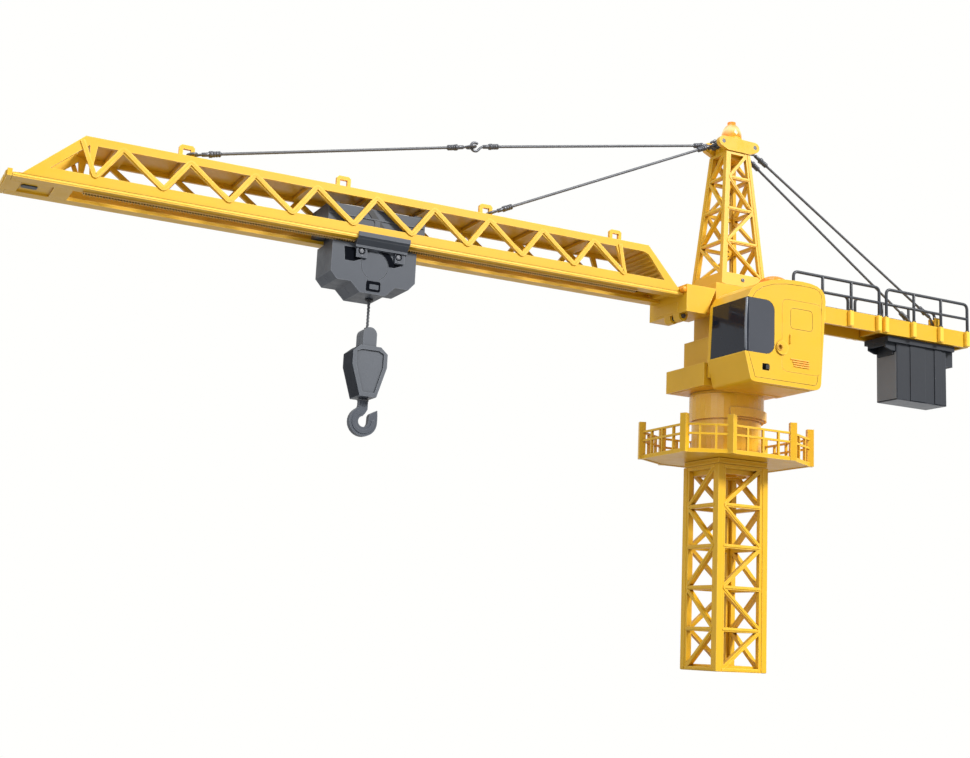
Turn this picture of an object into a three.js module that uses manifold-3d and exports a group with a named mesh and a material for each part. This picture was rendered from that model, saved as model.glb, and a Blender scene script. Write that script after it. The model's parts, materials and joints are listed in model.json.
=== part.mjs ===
// Toy tower crane: one lattice mast section, a slewing superstructure with cab, jib,
// counter-jib and stays, and a trolley that carries a hook block on a rope.
// Millimetres, +Z up. The origin is the centre of the mast's bottom face. The jib runs
// along -X, the counter-jib along +X, and the cab hangs on the -Y side.

import * as THREE from 'three';
import { mergeVertices } from 'three/addons/utils/BufferGeometryUtils.js';
import Module from 'manifold-3d';

const wasm = await Module();
wasm.setup();

// ---------------------------------------------------------------- driving dimensions

const GAP = 0.3; // space kept between neighbouring pieces
const PI = Math.PI;

const MAST = { half: 24, height: 164, bays: 5, plate: 4, post: 7, brace: 3.2 };
const COLLAR = { top: 168.7, lip: 7 };
const DECK = { halfX: 63.3, halfY: 50.4, flatX: 30.4, flatY: 31.3, bottom: 169, thick: 2.6 };
const RAILING = {
  wall: 2.2, post: 5.4, bottom: 168.5, postTop: 199.3, top: 191.7,
  sill: 3.2, middle: 183.6, rail: 1.6, spacing: 14.5,
};
const COLUMN = { bore: 10.2, spigot: 20, shaft: 28.5, drum: 30.7, drumBottom: 201.5, top: 222 };
const STOP = { radius: 33, bottom: 203, top: 210, from: -2.1, to: -0.35 };
const GEAR = { module: 1.6, ring: 28, pinion: 7, bottom: 208.6, top: 216.6 };
const TURNTABLE = { radius: 30, bottom: 222.4, spigot: 9.6, bore: 6 };
const BLOCK = { x0: -42, x1: 37, half: 27, bottom: 225, top: 243.5, wall: 2.5 };
const STEP = { x0: -29.5, x1: 28, half: 20, top: 268.4 };
const NECK = { x0: -22, x1: 24, half: 17, top: 296 };
const HEADBASE = { half: 28, halfY: 22.3, top: 313.3 };
const HEAD = {
  half: 22, bottom: 313.6, topHalf: 11.85, top: 433.8, plate: 3.5, leg: 4.4, brace: 2.6,
  levels: [322.9, 352.2, 381.8, 410.2, 433.8],
};
const CAP = { front: -15.7, back: 16.8, z: 441, ear: 4.6, half: 13, slot: 8.6, pin: 1.6 };
const BEACON = { x: 1.3, radius: 9.3, bottom: 445.9, lens: 450.2, top: 465 };
const ROOTBLOCK = { x0: -60, half: 27.1, bottom: 283.5, top: 306 };
const JIB = {
  tip: -583, root: -60.3, bottom: 297.1, top: 333.8, peakTip: -539.3, peakRoot: -93.6,
  half: 21.1, plate: 2.4, lowChord: 307.4, highChord: 328, valley: -531.0,
  pitch: 46.14, lean: 0.37, valleys: 10, flange: 2.5, flangeIn: 12.3, flangeOut: 22.2,
};
const LUG = { first: -466.5, pitch: 117.8, count: 4, width: 11, height: 14.2, thick: 3 };
const RACK = { x0: -536.708, x1: -99, module: 0.625, y0: -15.5, y1: -12.4, back: 296.8, root: 0.7, depth: 1.9 };
const COUNTER = { x0: 28.4, x1: 253, half: 18.6, bottom: 296.7, top: 311, wall: 3, deck: 2.2 };
const ANCHOR = { x: 218.6, y: 12.6, z: 317 }; // cross bars that hold the back stays
const GUARD = { tube: 1.35, top: 337.5, middle: 322.6, y: 20.3 };
const WEIGHT = { x0: 173.5, x1: 231.5, half: 12.6, bottom: 241, top: 292.5, wall: 2, ballast: 39 };
const CAB = {
  near: -80, far: -30.6, wall: 2.2, bottom: 221.5, roof: 308, front: -41.5, rear: 37.5,
  windowTop: 288, windowBottom: 244.5, windowRear: -13.2,
};
const TROLLEY = { x: -326.5, half: 33, side: 16.2, wall: 1.6, top: 294.1, bottom: 258.5 };
const CARRIAGE = { half: 38, side: 17.6, bottom: 300.1, top: 321.5, neck: 11.9, neckHalf: 30 };
const ROPE = { x: -322.5, radius: 1.1, exit: 258.3 };
const DRUM = { radius: 6, z: 279.5, flange: 9, half: 7 };
const PINION = { teeth: 16, gap: 118.05, y0: -14.6, y1: -12.7 }; // gap: the rack pitch it meshes in
PINION.x = RACK.x0 + PINION.gap * PI * RACK.module;
const HOOKBLOCK = {
  half: 10, top: 221.6, high: 216.8, low: 206.9, bottom: 184.3, crown: 7.9, shoulder: 13.4, foot: 6.4,
  arch: 5.3, archDepth: 7, archTop: 236.2,
};
const HOOK = { x: 0.4, z: 167, outer: 10.8, inner: 4, half: 2.6, shank: 3.2 };
const CABLE = 1.15; // radius of the stay cables

// ---------------------------------------------------------------- materials

const paint = (color, roughness, metalness = 0) =>
  new THREE.MeshStandardMaterial({ color, roughness, metalness });
const yellow = paint(0xf5b625, 0.42);
const slate = paint(0x4c525b, 0.5);
const steel = paint(0x9a9fa6, 0.3, 0.9);
const black = paint(0x22252a, 0.45);
const smoke = paint(0x2b323c, 0.12);
const amber = paint(0xff7a1a, 0.2);
const nylon = paint(0xe8e6de, 0.5);
const green = paint(0x2e6b43, 0.5);
const silver = paint(0xb9bdc2, 0.35, 0.8);

// ---------------------------------------------------------------- shape helpers

const part = new THREE.Group();

function add(name, geometry, material) {
  const mesh = new THREE.Mesh(geometry, material);
  mesh.name = name;
  part.add(mesh);
  return mesh;
}

function toSolid(geometry) {
  const bare = geometry.clone();
  bare.deleteAttribute('normal');
  bare.deleteAttribute('uv');
  const welded = mergeVertices(bare, 1e-4);
  const mesh = new wasm.Mesh({
    numProp: 3,
    vertProperties: new Float32Array(welded.attributes.position.array),
    triVerts: new Uint32Array(welded.index.array),
  });
  mesh.merge();
  return new wasm.Manifold(mesh);
}

function toGeometry(solid) {
  const mesh = solid.getMesh();
  const geometry = new THREE.BufferGeometry();
  geometry.setAttribute('position', new THREE.BufferAttribute(new Float32Array(mesh.vertProperties), 3));
  geometry.setIndex(new THREE.BufferAttribute(new Uint32Array(mesh.triVerts), 1));
  geometry.computeVertexNormals();
  return geometry;
}

const join = (...pieces) => toGeometry(pieces.map(toSolid).reduce((sum, next) => sum.add(next)));
const cut = (base, ...tools) =>
  toGeometry(tools.map(toSolid).reduce((rest, tool) => rest.subtract(tool), toSolid(base)));

function box(x0, x1, y0, y1, z0, z1) {
  const geometry = new THREE.BoxGeometry(x1 - x0, y1 - y0, z1 - z0);
  return geometry.translate((x0 + x1) / 2, (y0 + y1) / 2, (z0 + z1) / 2);
}

const outline = (points) =>
  points instanceof THREE.Shape ? points : new THREE.Shape(points.map(([a, b]) => new THREE.Vector2(a, b)));

const extrude = (points, depth) =>
  new THREE.ExtrudeGeometry(outline(points), { depth, bevelEnabled: false, curveSegments: 5 });

// An outline drawn in (x, y) and extruded from z0 to z1, with holes cut through it.
function prismXY(points, z0, z1, holes = []) {
  const solid = extrude(points, z1 - z0).translate(0, 0, z0);
  return holes.length ? cut(solid, ...holes.map((hole) => prismXY(hole, z0 - 1, z1 + 1))) : solid;
}

// An outline drawn in (x, z) and extruded from y0 to y1, with holes cut through it.
const prismXZ = (points, y0, y1, holes) => prismXY(points, -y1, -y0, holes).rotateX(PI / 2);

// An outline drawn in (y, z) and extruded from x0 to x1.
const axesYZX = new THREE.Matrix4().set(0, 0, 1, 0, 1, 0, 0, 0, 0, 1, 0, 0, 0, 0, 0, 1);
const prismYZ = (points, x0, x1) => prismXY(points, x0, x1).applyMatrix4(axesYZX);

// A profile of [radius, z] points turned about the Z axis through (x, y).
function turned(profile, x = 0, y = 0, segments = 40) {
  const points = profile.map(([r, z]) => new THREE.Vector2(r, z));
  return new THREE.LatheGeometry(points, segments).rotateX(PI / 2).translate(x, y, 0);
}

// A round bar along X, Y or Z from a to b, through the point [u, v] of the other two axes.
function bar(axis, radius, a, b, u, v, sides = 16) {
  const geometry = new THREE.CylinderGeometry(radius, radius, b - a, sides).translate(0, (a + b) / 2, 0);
  if (axis === 'y') return geometry.translate(u, 0, v);
  if (axis === 'z') return geometry.rotateX(PI / 2).translate(u, v, 0);
  return geometry.rotateZ(-PI / 2).translate(0, u, v);
}

const point = ([x, y, z]) => new THREE.Vector3(x, y, z);

// A round tube along a curve, closed at both ends.
function tube(curve, radius, sides, steps) {
  const section = new THREE.Shape();
  section.absarc(0, 0, radius, 0, 2 * PI, false);
  const options = { steps, extrudePath: curve, bevelEnabled: false, curveSegments: sides / 2 };
  return new THREE.ExtrudeGeometry(section, options);
}

// Points along an arc in a plane, angles in radians.
function arc(cx, cy, radius, from, to, steps) {
  const points = [];
  for (let i = 0; i <= steps; i++) {
    const a = from + (to - from) * (i / steps);
    points.push([cx + radius * Math.cos(a), cy + radius * Math.sin(a)]);
  }
  return points;
}

const rectangle = (a0, a1, b0, b1) => [[a0, b0], [a1, b0], [a1, b1], [a0, b1]];

// A rectangle with round corners, from one corner to the opposite one.
function roundRect(a0, a1, b0, b1, radius, steps = 3) {
  return [
    ...arc(a1 - radius, b1 - radius, radius, 0, PI / 2, steps),
    ...arc(a0 + radius, b1 - radius, radius, PI / 2, PI, steps),
    ...arc(a0 + radius, b0 + radius, radius, PI, 1.5 * PI, steps),
    ...arc(a1 - radius, b0 + radius, radius, 1.5 * PI, 2 * PI, steps),
  ];
}

// The two triangular openings of one braced bay. The bay's left and right edges run from
// [-low, z0] to [-high, z1] and their mirror image; the diagonal rises to the right, or
// to the left when it is mirrored.
function bayHoles(low, high, z0, z1, width, mirrored) {
  const height = z1 - z0;
  const rise = (width / 2) * (Math.hypot(low + high, height) / (low + high));
  const run = (width / 2) * (Math.hypot(low + high, height) / height);
  const lean = (low - high) / height;
  const upper = [[-low + lean * rise, z0 + rise], [high - run, z1], [-high, z1]];
  const lower = [[-low + run, z0], [low, z0], [high + lean * rise, z1 - rise]];
  const side = mirrored ? -1 : 1;
  return [upper, lower].map((hole) => hole.map(([a, b]) => [side * a, b]));
}

// Points of one gear outline: straight-flanked teeth on a pitch circle.
function gearOutline(teeth, module, addendum, dedendum, toothShare) {
  const pitch = (teeth * module) / 2;
  const points = [];
  for (let i = 0; i < teeth; i++) {
    const centre = (2 * PI * i) / teeth;
    const half = (toothShare * PI) / teeth;
    points.push(
      [centre - half * 1.45, pitch - dedendum], [centre - half * 0.5, pitch + addendum],
      [centre + half * 0.5, pitch + addendum], [centre + half * 1.45, pitch - dedendum],
    );
  }
  return points.map(([a, r]) => [r * Math.cos(a), r * Math.sin(a)]);
}

// ---------------------------------------------------------------- mast and platform

function mastPanel(half, open) {
  const bay = MAST.height / MAST.bays;
  const holes = [];
  for (let i = 0; i < MAST.bays; i++) {
    const z0 = i * bay + (i === 0 ? MAST.brace : MAST.brace / 2);
    const z1 = (i + 1) * bay - (i === MAST.bays - 1 ? MAST.brace : MAST.brace / 2);
    holes.push(...bayHoles(open, open, z0, z1, MAST.brace, i % 2 === 1));
  }
  return prismXZ(rectangle(-half, half, 0, MAST.height), -MAST.half, -MAST.half + MAST.plate, holes);
}

// One L-shaped half of the mast: a full-width face and the narrower face clockwise of it.
function mastHalf() {
  const wide = mastPanel(MAST.half, MAST.half - MAST.post);
  const narrow = mastPanel(MAST.half - MAST.plate, MAST.half - MAST.post);
  const { half, plate, height } = MAST;
  const nextHalf = box(-half - 1, plate - half + 1, half - plate - GAP, half + 1, -1, height + 1);
  return cut(join(wide, narrow.rotateZ(-PI / 2)), nextHalf);
}

add('mast_half_near', mastHalf(), yellow);
add('mast_half_far', mastHalf().rotateZ(PI), yellow);

function mastFootFrame() {
  const half = MAST.half - MAST.plate - GAP;
  const rib = 3.2;
  const rim = 3;
  const hub = 8;
  const holes = [0, 1, 2, 3].map((k) => {
    const c = Math.cos((k * PI) / 2);
    const s = Math.sin((k * PI) / 2);
    const quarter = [
      [rib, hub], [rib, half - rim], [half - rim, half - rim], [half - rim, rib], [hub, rib],
    ];
    return quarter.map(([a, b]) => [a * c - b * s, a * s + b * c]);
  });
  return prismXY(rectangle(-half, half, -half, half), 0, 5, holes);
}

add('mast_foot_frame', mastFootFrame(), yellow);

function mastCollar() {
  const inner = MAST.half - MAST.plate - GAP;
  const bottom = MAST.height + GAP;
  const body = join(
    box(-MAST.half, MAST.half, -MAST.half, MAST.half, bottom, COLLAR.top),
    box(-inner, inner, -inner, inner, MAST.height - COLLAR.lip, bottom + 1),
  );
  return cut(body, bar('z', COLUMN.spigot - 3, MAST.height - COLLAR.lip - 1, COLLAR.top + 1, 0, 0, 32));
}

add('mast_collar', mastCollar(), yellow);

// Corners of the eight-sided platform, moved in by an inset.
function octagon(inset) {
  const x = DECK.halfX - inset;
  const y = DECK.halfY - inset;
  const a = DECK.flatX - inset * 0.45;
  const b = DECK.flatY - inset * 0.45;
  return [[x, -b], [x, b], [a, y], [-a, y], [-x, b], [-x, -b], [-a, -y], [a, -y]];
}

const deckHole = arc(0, 0, COLUMN.spigot - 3, 0, 2 * PI, 32).slice(0, -1);
const deckPlate = prismXY(octagon(RAILING.wall + GAP), DECK.bottom, DECK.bottom + DECK.thick, [deckHole]);
add('platform_deck', deckPlate, yellow);

// One flat bay of the railing between two corner posts.
function railingBay([x0, y0], [x1, y1]) {
  const length = Math.hypot(x1 - x0, y1 - y0);
  const bars = Math.round(length / RAILING.spacing);
  const holes = [];
  for (let i = 0; i < bars; i++) {
    const a0 = (i * length) / bars + RAILING.rail / 2;
    const a1 = ((i + 1) * length) / bars - RAILING.rail / 2;
    const half = RAILING.rail / 2;
    holes.push(rectangle(a0, a1, RAILING.bottom + RAILING.sill, RAILING.middle - half));
    holes.push(rectangle(a0, a1, RAILING.middle + half, RAILING.top - RAILING.rail));
  }
  const flat = prismXZ(rectangle(0, length, RAILING.bottom, RAILING.top), 0, RAILING.wall, holes);
  return flat.rotateZ(Math.atan2(y1 - y0, x1 - x0)).translate(x0, y0, 0);
}

function platformRailing() {
  const corners = octagon(0);
  const pieces = corners.map((corner, i) => railingBay(corner, corners[(i + 1) % corners.length]));
  const middles = octagon(RAILING.wall * 0.5);
  for (const [x, y] of middles) {
    const half = RAILING.post / 2;
    const post = box(-half, half, -half, half, RAILING.bottom, RAILING.postTop);
    pieces.push(post.rotateZ(PI / 4 - Math.sign(x * y) * PI / 8).translate(x, y, 0));
  }
  const body = join(...pieces);
  return cut(body, prismXY(octagon(RAILING.wall), RAILING.bottom - 1, DECK.bottom + DECK.thick + GAP));
}

add('platform_railing', platformRailing(), yellow);

// ---------------------------------------------------------------- slewing joint

function slewColumn() {
  const { bore, shaft, drum, drumBottom, top } = COLUMN;
  const cavity = drum - 3.4;
  const neck = COLUMN.spigot - 3 - GAP;
  const seat = DECK.bottom + DECK.thick + GAP;
  const [foot, floor] = [158, 204];
  const profile = [
    [bore, foot], [neck, foot], [neck, seat], [shaft, seat], [shaft, drumBottom], [drum, drumBottom],
    [drum, top], [cavity, top], [cavity, floor], [bore, floor], [bore, foot],
  ];
  const sector = [
    ...arc(0, 0, STOP.radius, STOP.from, STOP.to, 14),
    ...arc(0, 0, COLUMN.drum - 1, STOP.to, STOP.from, 14),
  ];
  return join(turned(profile, 0, 0, 36), prismXY(sector, STOP.bottom, STOP.top));
}

add('slew_column', slewColumn(), yellow);

const ringPitch = (GEAR.module * GEAR.ring) / 2;
const pinionPitch = (GEAR.module * GEAR.pinion) / 2;
const slewAxis = ringPitch - pinionPitch; // distance of the slew pinion from the mast axis

function slewRingGear() {
  const teeth = gearOutline(GEAR.ring, GEAR.module, GEAR.module * 1.2, GEAR.module * 0.9, 0.62);
  const rim = arc(0, 0, COLUMN.drum - 3.4 - GAP, 0, 2 * PI, 36).slice(0, -1);
  return prismXY(rim, GEAR.bottom, GEAR.top, [teeth]);
}

add('slew_ring_gear', slewRingGear(), nylon);

function slewPinion() {
  const teeth = gearOutline(GEAR.pinion, GEAR.module, GEAR.module * 0.8, GEAR.module * 1.1, 0.36);
  const wheel = prismXY(teeth, GEAR.bottom, GEAR.top);
  const shaft = bar('z', 2, GEAR.top - 1, BLOCK.bottom + 2.2, 0, 0, 12);
  return join(wheel, shaft).translate(slewAxis, 0, 0);
}

add('slew_pinion', slewPinion(), nylon);

function slewTurntable() {
  const floor = BLOCK.bottom + 2;
  const disc = turned([
    [TURNTABLE.bore, 190], [TURNTABLE.spigot, 190], [TURNTABLE.spigot, TURNTABLE.bottom],
    [TURNTABLE.radius, TURNTABLE.bottom], [TURNTABLE.radius, BLOCK.bottom - GAP], [20, BLOCK.bottom - GAP],
    [20, floor], [TURNTABLE.bore, floor], [TURNTABLE.bore, 190],
  ], 0, 0, 32);
  const inset = BLOCK.wall + GAP;
  const plate = cut(
    box(BLOCK.x0 + inset, BLOCK.x1 - inset, -BLOCK.half + inset, BLOCK.half - inset, BLOCK.bottom - 0.4, floor),
    bar('z', 18, BLOCK.bottom - 1, floor + 1, 0, 0, 24),
  );
  return cut(join(disc, plate), bar('z', 2.4, TURNTABLE.bottom - 1, floor + 1, slewAxis, 0, 16));
}

add('slew_turntable', slewTurntable(), yellow);

// ---------------------------------------------------------------- turret

function turretBase() {
  const shell = join(
    box(BLOCK.x0, BLOCK.x1, -BLOCK.half, BLOCK.half, BLOCK.bottom, BLOCK.top),
    box(STEP.x0, STEP.x1, -STEP.half, STEP.half, BLOCK.bottom, STEP.top),
  );
  const w = BLOCK.wall;
  const pads = [-34, 30].map((x) =>
    box(x - 5, x + 5, CAB.far + GAP, -BLOCK.half + 1, BLOCK.bottom + 6, BLOCK.top - 3));
  return cut(
    join(shell, ...pads),
    box(BLOCK.x0 + w, BLOCK.x1 - w, -BLOCK.half + w, BLOCK.half - w, BLOCK.bottom - 1, BLOCK.top - w),
    box(STEP.x0 + w, STEP.x1 - w, -STEP.half + w, STEP.half - w, BLOCK.top - w - 1, STEP.top - w),
  );
}

add('turret_base', turretBase(), yellow);

function slewMotor() {
  const bottom = BLOCK.bottom + 2.5;
  return join(
    box(slewAxis - 10, slewAxis + 9, -11, 11, bottom, bottom + 12),
    bar('z', 8, bottom + 11, bottom + 34, slewAxis - 2, 0, 24),
  );
}

add('slew_motor', slewMotor(), silver);
add('battery_pack', box(-37, 4, -19, 19, BLOCK.bottom + 2.5, BLOCK.top - BLOCK.wall - GAP), slate);

function turretNeck() {
  const w = 2.5;
  const top = HEADBASE.top - w;
  const block = join(
    box(NECK.x0, NECK.x1, -NECK.half, NECK.half, STEP.top + GAP, NECK.top + 1),
    box(-HEADBASE.half, HEADBASE.half, -HEADBASE.halfY, HEADBASE.halfY, NECK.top, HEADBASE.top),
  );
  return cut(
    block,
    box(NECK.x0 + w, NECK.x1 - w, -NECK.half + w, NECK.half - w, STEP.top - 1, NECK.top + 2),
    box(w - HEADBASE.half, HEADBASE.half - w, w - HEADBASE.halfY, HEADBASE.halfY - w, NECK.top + w, top),
    box(-12, 12, -12, 12, top - 1, HEADBASE.top + 1),
  );
}

add('turret_neck', turretNeck(), yellow);

function circuitBoard() {
  return join(
    box(-15, 15, -0.8, 0.8, 270, 295),
    box(-8, 2, -2.2, 0, 276, 284),
    box(5, 12, -4, 0, 286, 292),
    box(-12, -5, 0, 5, 287, 291),
  );
}

add('circuit_board', circuitBoard(), green);

function jibRootBlock() {
  const b = ROOTBLOCK;
  const body = prismXZ([[b.x0, b.bottom], [-41, b.bottom], [-31.5, b.top], [b.x0, b.top]], -b.half, b.half);
  const tongue = box(-46, -HEADBASE.half - GAP, -16, 16, b.bottom + 3, b.top);
  const lugs = [-12, 1].map((y) => bar('y', 4.3, y - 4, y + 4, b.x0 + 4.3, b.bottom - 1.6, 20));
  const cheeks = [-12, 1].map((y) => box(b.x0, b.x0 + 8.6, y - 4, y + 4, b.bottom - 1.6, b.bottom + 1));
  const bore = bar('y', 2.1, -20, 8, b.x0 + 4.3, b.bottom - 1.6, 12);
  return cut(join(body, tongue, ...lugs, ...cheeks), bore);
}

add('jib_root_block', jibRootBlock(), yellow);
add('jib_root_pin', bar('y', 1.7, -17.5, 6.5, ROOTBLOCK.x0 + 4.3, ROOTBLOCK.bottom - 1.6, 12), steel);

// ---------------------------------------------------------------- cab

// Side outline of the cab, moved in by an inset: leaning nose, long roof arc, flat floor.
function cabOutline(inset) {
  const c = CAB;
  const r = 6;
  const floor = c.bottom + inset;
  const shape = new THREE.Shape();
  shape.moveTo(c.front + 8 + r * 0.4, floor);
  shape.lineTo(c.rear - 5.5 - r, floor);
  shape.quadraticCurveTo(c.rear - 5 - inset, floor, c.rear - 4.4 - inset, floor + r);
  shape.lineTo(c.rear - inset, c.roof - 13);
  shape.bezierCurveTo(c.rear + 0.4 - inset, c.roof - 3, c.rear - 8 - inset, c.roof - inset, 14, c.roof - inset);
  const brow = c.windowTop - inset * 0.5;
  shape.bezierCurveTo(-14, c.roof - inset, c.front + 6 + inset, 302 - inset, c.front + 2 + inset, brow);
  shape.lineTo(c.front + inset, c.windowBottom - 1);
  shape.lineTo(c.front + 5.4 + inset, floor + r * 0.5);
  shape.quadraticCurveTo(c.front + 6 + inset, floor, c.front + 8 + r * 0.4, floor);
  return shape;
}

const DOOR = { x0: -6, x1: 33.2, z0: 233, z1: 291.5, radius: 5 };
const doorOutline = (grow) =>
  roundRect(DOOR.x0 - grow, DOOR.x1 + grow, DOOR.z0 - grow, DOOR.z1 + grow, DOOR.radius + grow);
const sideWindowOutline = (grow) => {
  const c = CAB;
  const r = 8;
  return [
    ...arc(c.windowRear - r + grow, c.windowTop - r + grow, r, 0, PI / 2, 4),
    [c.front - 3, c.windowTop + grow], [c.front - 3, c.windowBottom - grow],
    ...arc(c.windowRear - r + grow, c.windowBottom + r - grow, r, 1.5 * PI, 2 * PI, 4),
  ];
};
const BOSS = { x: -6.2, z: 251.4, radius: 5.6 };
const bossDisc = (grow, y0, y1) => bar('y', BOSS.radius + grow, y0, y1, BOSS.x, BOSS.z, 20);
const SWITCH = { x: -21.4, z: 234.2, half: 3.4, halfZ: 2.8 };

// The cab's foot is hollowed round the slewing ring, which it passes close to.
const ringRoom = () => bar('z', COLUMN.drum + 0.8, 200, BLOCK.bottom + 2.6, 0, 0, 40);

// Fine grooves that outline the side panel and, on the door, its hatch.
const PANEL = { inset: 3.4, width: 0.45, depth: 0.5 };
const HATCH = { x0: 2.2, x1: 24.4, z0: 268, z1: 285.2, radius: 3 };

function grooveRing(outer, inner) {
  const [front, back] = [CAB.near - 1, CAB.near + PANEL.depth];
  return cut(prismXZ(outer, front, back), prismXZ(inner, front - 1, back + 1));
}

function cabShell() {
  const c = CAB;
  const body = cut(
    prismXZ(cabOutline(0), c.near, c.far),
    prismXZ(cabOutline(c.wall), c.near + c.wall, c.far + 1),
  );
  const sideGlass = prismXZ(sideWindowOutline(0), c.near - 1, c.near + 6);
  const frontGlass = box(c.front - 2, c.front + 6, c.near - 1, c.far - 3.5, c.windowBottom, c.windowTop);
  const door = prismXZ(doorOutline(0), c.near - 1, c.near + c.wall + 1);
  const s = SWITCH;
  const slot = box(s.x - s.half, s.x + s.half, c.near - 1, c.near + 3, s.z - s.halfZ, s.z + s.halfZ);
  const boss = bossDisc(0, c.near - 1.2, c.near + c.wall);
  const hole = bar('y', 1.9, c.near - 3, c.near + 4, BOSS.x - 2.4, BOSS.z, 12);
  const groove = grooveRing(cabOutline(PANEL.inset), cabOutline(PANEL.inset + PANEL.width));
  return cut(join(cut(body, door), boss), sideGlass, frontGlass, slot, hole, groove, ringRoom());
}

add('cab_shell', cabShell(), yellow);
function cabDoor() {
  const { x0, x1, z0, z1, radius } = HATCH;
  const w = PANEL.width;
  const inner = roundRect(x0 + w, x1 - w, z0 + w, z1 - w, radius - w);
  const hatch = grooveRing(roundRect(x0, x1, z0, z1, radius), inner);
  const panel = prismXZ(doorOutline(-GAP), CAB.near, CAB.near + CAB.wall);
  return cut(panel, bossDisc(GAP, CAB.near - 1, CAB.near + 5), hatch);
}

add('cab_door', cabDoor(), yellow);

function cabInnerCover() {
  return cut(prismXZ(cabOutline(CAB.wall + GAP), CAB.far - 2, CAB.far), ringRoom());
}

add('cab_inner_cover', cabInnerCover(), yellow);

// The glazing is cut from the same outline as the shell, so it follows its faces.
function glazing(frame) {
  const c = CAB;
  const pane = prismXZ(cabOutline(0.1), c.near + 0.1, c.far - 4);
  const skin = cut(pane, prismXZ(cabOutline(1.7), c.near + 1.7, c.far));
  return toGeometry(toSolid(skin).intersect(toSolid(frame)));
}

const glassCorner = CAB.front + 3.4;
add('cab_side_window', glazing(cut(
  prismXZ(sideWindowOutline(-GAP), CAB.near - 1, CAB.near + 1.9),
  box(CAB.front - 6, glassCorner + GAP, CAB.near - 2, CAB.near + 3, 200, 320),
)), smoke);
add('cab_front_window', glazing(
  box(CAB.front - 1, glassCorner, CAB.near - 1, CAB.far - 3.5 - GAP, CAB.windowBottom + GAP,
    CAB.windowTop - GAP),
), smoke);

const LAMP = { x: 6, y: -53, radius: 12, bottom: 308.4, rim: 1.6, rise: 6.4 };

function roofLamp() {
  const { radius, bottom, rim, rise } = LAMP;
  const dome = arc(0, 0, 1, 0, PI / 2, 6).map(([c, s]) => [radius * c, bottom + rim + rise * s]);
  dome[dome.length - 1][0] = 0;
  return turned([[0, bottom], [radius, bottom], ...dome, [0, bottom]], LAMP.x, LAMP.y, 20);
}

add('cab_roof_lamp', roofLamp(), amber);

function powerSwitch() {
  const s = SWITCH;
  const back = CAB.near + CAB.wall + GAP;
  const knob = box(s.x - 0.2, s.x + s.half - GAP, CAB.near - 0.8, back + 1, s.z - 1.6, s.z + 1.6);
  const guide = box(s.x - 2.4, s.x + s.half + 1.6, back, back + 1.6, s.z - s.halfZ - 1.2, s.z + s.halfZ + 1.2);
  return join(knob, guide);
}

add('power_switch', powerSwitch(), black);

// ---------------------------------------------------------------- tower head

const headHalf = (z) => HEAD.half + ((HEAD.topHalf - HEAD.half) * (z - HEAD.bottom)) / (HEAD.top - HEAD.bottom);

// A four-sided block that tapers like the tower head, with its faces moved in by an inset.
function headTaper(inset, z0, z1) {
  const radius = (z) => (headHalf(z) - inset) * Math.SQRT2;
  const block = new THREE.CylinderGeometry(radius(z1), radius(z0), z1 - z0, 4);
  return block.rotateY(PI / 4).rotateX(PI / 2).translate(0, 0, (z0 + z1) / 2);
}

function headOpenings() {
  const open = (z) => headHalf(z) - HEAD.leg;
  const openings = [];
  for (let i = 0; i + 1 < HEAD.levels.length; i++) {
    const z0 = HEAD.levels[i] + HEAD.brace / 2;
    const z1 = HEAD.levels[i + 1] - HEAD.brace / 2 - (i === HEAD.levels.length - 2 ? 1.2 : 0);
    openings.push(...bayHoles(open(z0), open(z1), z0, z1, HEAD.brace, i % 2 === 0));
  }
  return openings;
}

// The head is one hollow tapering tower with the same braced openings in all four faces.
function towerHead() {
  const openings = [0, 1, 2, 3].flatMap((k) =>
    headOpenings().map((hole) => prismXZ(hole, -HEAD.half - 2, -HEAD.topHalf / 2).rotateZ((-k * PI) / 2)));
  const hollow = headTaper(HEAD.plate, HEAD.bottom - 1, HEAD.top + 1);
  return cut(headTaper(0, HEAD.bottom, HEAD.top - GAP), hollow, ...openings);
}

add('tower_head', towerHead(), yellow);

function headCap() {
  const c = CAP;
  const profile = [
    [-11, HEAD.top + GAP], [12, HEAD.top + GAP],
    ...arc(c.back, c.z, c.ear, -0.9, PI / 2, 6), ...arc(c.front, c.z, c.ear, PI / 2, PI + 0.9, 6),
  ];
  const slots = [
    box(c.front - 10, -9.4, -c.slot, c.slot, HEAD.top - 1, c.z + 10),
    box(10.4, c.back + 10, -c.slot, c.slot, HEAD.top - 1, c.z + 10),
  ];
  const bores = [c.front, c.back].map((x) => bar('y', c.pin + GAP, -c.half - 1, c.half + 1, x, c.z, 16));
  const plug = box(-7.6, 7.6, -7.6, 7.6, HEAD.top - 5, HEAD.top + 1);
  return cut(join(prismXZ(profile, -c.half, c.half), plug), ...slots, ...bores);
}

add('head_cap', headCap(), yellow);
add('head_pin_front', bar('y', CAP.pin, -12.8, 12.8, CAP.front, CAP.z, 12), steel);
add('head_pin_back', bar('y', CAP.pin, -12.8, 12.8, CAP.back, CAP.z, 12), steel);

add('beacon_base', turned([
  [0, BEACON.bottom], [BEACON.radius, BEACON.bottom], [BEACON.radius, BEACON.lens - GAP - 1],
  [BEACON.radius - 1, BEACON.lens - GAP], [0, BEACON.lens - GAP],
], BEACON.x, 0, 20), yellow);

function beaconLens() {
  const b = BEACON;
  const dome = arc(0, 0, 1, 0.05, 1.1, 6).map(([c, s]) => [8.7 * c, b.lens + 1 + 12 * s]);
  const outer = [[8.7, b.lens], ...dome, [3.6, b.top - 3], [3.6, b.top - 0.6], [0, b.top]];
  return turned([[0, b.top - 4], [2.4, b.top - 4.2], [6.2, b.lens + 6], [7, b.lens], ...outer], b.x, 0, 20);
}

add('beacon_lens', beaconLens(), amber);

// ---------------------------------------------------------------- jib

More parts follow.
